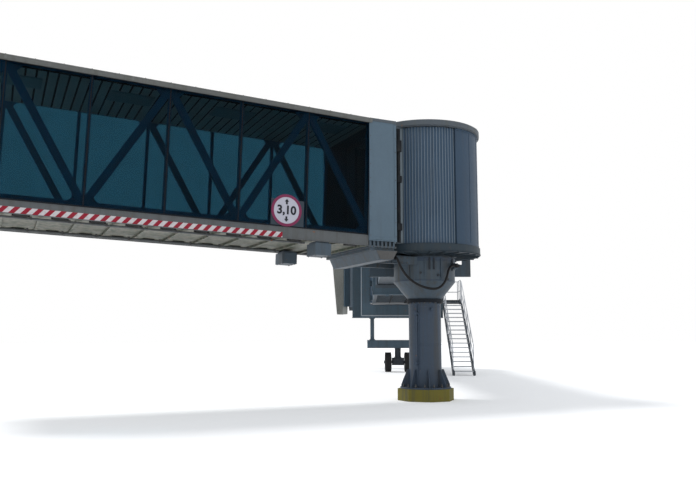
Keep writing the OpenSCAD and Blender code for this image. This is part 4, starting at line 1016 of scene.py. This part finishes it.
def bow(inset):
    """Inverted U of one fold, from foot to foot, as (y, z) points."""
    y, z, r = HALF - inset, TOP_Z - inset, max(0.3 - inset * 0.75, 0.03)
    side = series(BASE_Z, (z - r - BASE_Z) / 14, 15)
    corner = [(r * math.cos(a), r * math.sin(a)) for a in series(math.pi / 12, math.pi / 12, 5)]
    pts = [(y, h) for h in side]
    pts += [(y - r + c, z - r + s) for c, s in corner]
    pts += [(h, z) for h in series(y - r, -2 * (y - r) / 12, 13)]
    pts += [(r - y - s, z - r + c) for c, s in corner]
    return pts + [(-y, h) for h in side[::-1]]


def reach(z):
    """Depth of the canopy from its frame to its front edge at one height."""
    return DEPTH + LEAN * (z - BASE_Z) / (TOP_Z - BASE_Z)


rows = []
last = FOLDS * ROWS_PER_FOLD
for i in range(last + 1):
    out = 0.5 + 0.5 * math.cos(i / ROWS_PER_FOLD * 2 * math.pi)
    edge = min(i, last - i, 3) / 3
    row = []
    for j, (y, z) in enumerate(bow(FOLD * (1 - out))):
        soft = 0.012 * math.sin(j * 1.7 + i * 0.9) + 0.008 * math.sin(j * 0.6 + i * 2.3)
        sag = abs(0.02 * out * math.sin(j * 0.45)) if abs(y) < 1.1 else 0
        row.append(bm.verts.new((CANOPY_X + i / last * reach(z) + soft * edge, y, z - sag * edge)))
    rows.append(row)
for a, b in zip(rows, rows[1:]):
    for j in range(len(a) - 1):
        bm.faces.new((a[j], a[j + 1], b[j + 1], b[j]))
canopy = piece("canopy_bellows", "cab", "canvas", bm, CAB, smooth=1.2, replaces=("canopy",))
for k in range(FOLDS + 1):
    pts = [(CANOPY_X + k / FOLDS * reach(z), y * 0.9985, z - 0.002) for y, z in bow(0)[::2]]
    for p, q in zip(pts, pts[1:]):
        rod(bm, p, q, 0.008, 6)
piece("canopy_bows", "cab", "canvas_dark", bm, CAB)

# Service stair: gratings and nosings of the treads
STEPS, GOING, LANDING_Z, FIRST_R = 16, 0.2225, 3.27, 11.73
RISE = LANDING_Z / (STEPS + 1)
BAR = 0.006
for r0, z in zip(series(FIRST_R, GOING, STEPS), series(RISE, RISE, STEPS)):
    for r in series(r0 + 0.03, 0.029, 8):
        box(bm, r, r + BAR, -2.985, -2.175, z, z + 0.006, 0)
    for y in series(-2.95, 0.093, 9):
        box(bm, r0 + 0.02, r0 + 0.235, y, y + 0.005, z, z + 0.008, 0)
    box(nose, r0 - 0.006, r0 + 0.028, -2.988, -2.172, z - 0.03, z + 0.008, 0.004)
piece("tread_grating", "stair", "tread", bm, SWUNG)
piece("tread_nosings", "stair", "bright", nose, SWUNG)

# Stringers: top flange from foot to head, foot wheels with their axles, sockets of the handrail posts
STRINGER_Y, STRINGER_R = (-2.15, -3.01), 11.7
RUN, FOOT_Z, HEAD_Z, POST_PITCH = 3.59, 0.17, 3.23, 0.8525
FLANGE_SECTION = [(-0.035, -0.004), (0.035, -0.004), (0.035, 0.004), (-0.035, 0.004)]
for y in STRINGER_Y:
    p, q = (STRINGER_R, y, FOOT_Z + 0.004), (STRINGER_R + RUN, y, HEAD_Z + 0.004)
    prism(bm, FLANGE_SECTION, along(p, q), math.dist(p, q))
    rod(bm, (11.76, y - 0.055, 0.1), (11.76, y - 0.025, 0.1), 0.098, 28, 0.006)
    rod(bm, (11.76, y - 0.062, 0.1), (11.76, y + 0.03, 0.1), 0.02)
piece("stringer_flanges", "stair", "stair", bm, SWUNG)
for y in STRINGER_Y:
    for r in series(11.8, POST_PITCH, 5):
        z = 0.21 + (r - STRINGER_R) * (HEAD_Z - FOOT_Z) / RUN
        rod(bm, (r, y, z - 0.012), (r, y, z + 0.03), 0.03, 14, 0.004)
        rod(bm, (r, y, z + 0.94), (r, y, z + 0.985), 0.025, 12, 0.004)
piece("handrail_sockets", "stair", "bright", bm, SWUNG)

# Landing: grating, kick plates and bolts
for r in series(15.5, 0.032, 34):
    box(bm, r, r + BAR, -3.0, -1.18, LANDING_Z, LANDING_Z + 0.007, 0)
for y in series(-2.98, 0.1, 18):
    box(bm, 15.48, 16.58, y, y + 0.005, LANDING_Z, LANDING_Z + 0.009, 0)
piece("landing_grating", "tunnel_b", "tread", bm, SWUNG)
box(bm, 15.46, 16.6, -3.03, -3.02, LANDING_Z, LANDING_Z + 0.12)
box(bm, 16.588, 16.6, -3.03, -1.2, LANDING_Z, LANDING_Z + 0.12)
for r in (15.5, 16.03, 16.55):
    bolt(bm, (r, -3.03, 3.24), (0, -1, 0), 0.012, 0.012)
piece("landing_kick_plates", "tunnel_b", "stair", bm, SWUNG)

# Terminal end: rubber lining and bolts of the end frame
LINING_X = (-LENGTH - 0.148, -LENGTH - 0.01)
twin_boxes(bm, *LINING_X, 1.12, 1.131, -0.04, 2.62)
box(bm, *LINING_X, -1.12, 1.12, 2.62, 2.631)
for z in series(-0.1, 0.26, 11):
    twin_bolts(bolts, -LENGTH - 0.075, ROOF_OUT, z, 0.012, 0.012)
piece("terminal_frame_lining", "fixed", "gasket", bm, SLOPED)
piece("terminal_frame_bolts", "fixed", "bolt", bolts, SLOPED)

# Backdrop that the camera, gloss and glass see as white, over a soft world light
WORLD_LIGHT, WORLD_STRENGTH = (0.93, 0.96, 1.0, 1), 0.9
m = Nodes("world", bpy.data.worlds, "OutputWorld")
light = m.node("Background", 0, {"Color": WORLD_LIGHT, "Strength": WORLD_STRENGTH})
white = m.node("Background", 0, {"Color": (1, 1, 1, 1)})
rays = m.new("LightPath").outputs
seen = rays["Is Camera Ray"]
for ray in ("Is Glossy Ray", "Is Transmission Ray"):
    seen = m.math("MAXIMUM", seen, rays[ray])
scene.world = m.done(m.node("MixShader", 0, {0: seen, 1: light, 2: white}))

# Hazy sun behind the bridge
SUN_STRENGTH, SUN_WIDTH, SUN_DIRECTION = 1.8, 14, (0.56, -0.42, -1.0)
sun_data = bpy.data.lights.new("sun", "SUN")
sun_data.energy = SUN_STRENGTH
sun_data.angle = math.radians(SUN_WIDTH)
aimed("sun", sun_data, SUN_DIRECTION)

# White floor with a faint glow, which keeps the shadow
FLOOR_HALF, FLOOR_GLOW = 160, 0.16
bmesh.ops.create_grid(bm, x_segments=1, y_segments=1, size=FLOOR_HALF)
mesh = bpy.data.meshes.new("floor")
bm.to_mesh(mesh)
m = Nodes("floor_white")
diffuse = m.node("BsdfDiffuse", 0, {"Color": (0.86, 0.86, 0.86, 1)})
glow = m.node("Emission", 0, {"Color": (1, 1, 1, 1), "Strength": FLOOR_GLOW})
mesh.materials.append(m.done(m.node("AddShader", 0, {0: diffuse, 1: glow})))
linked("floor", mesh)

bpy.context.view_layer.update()
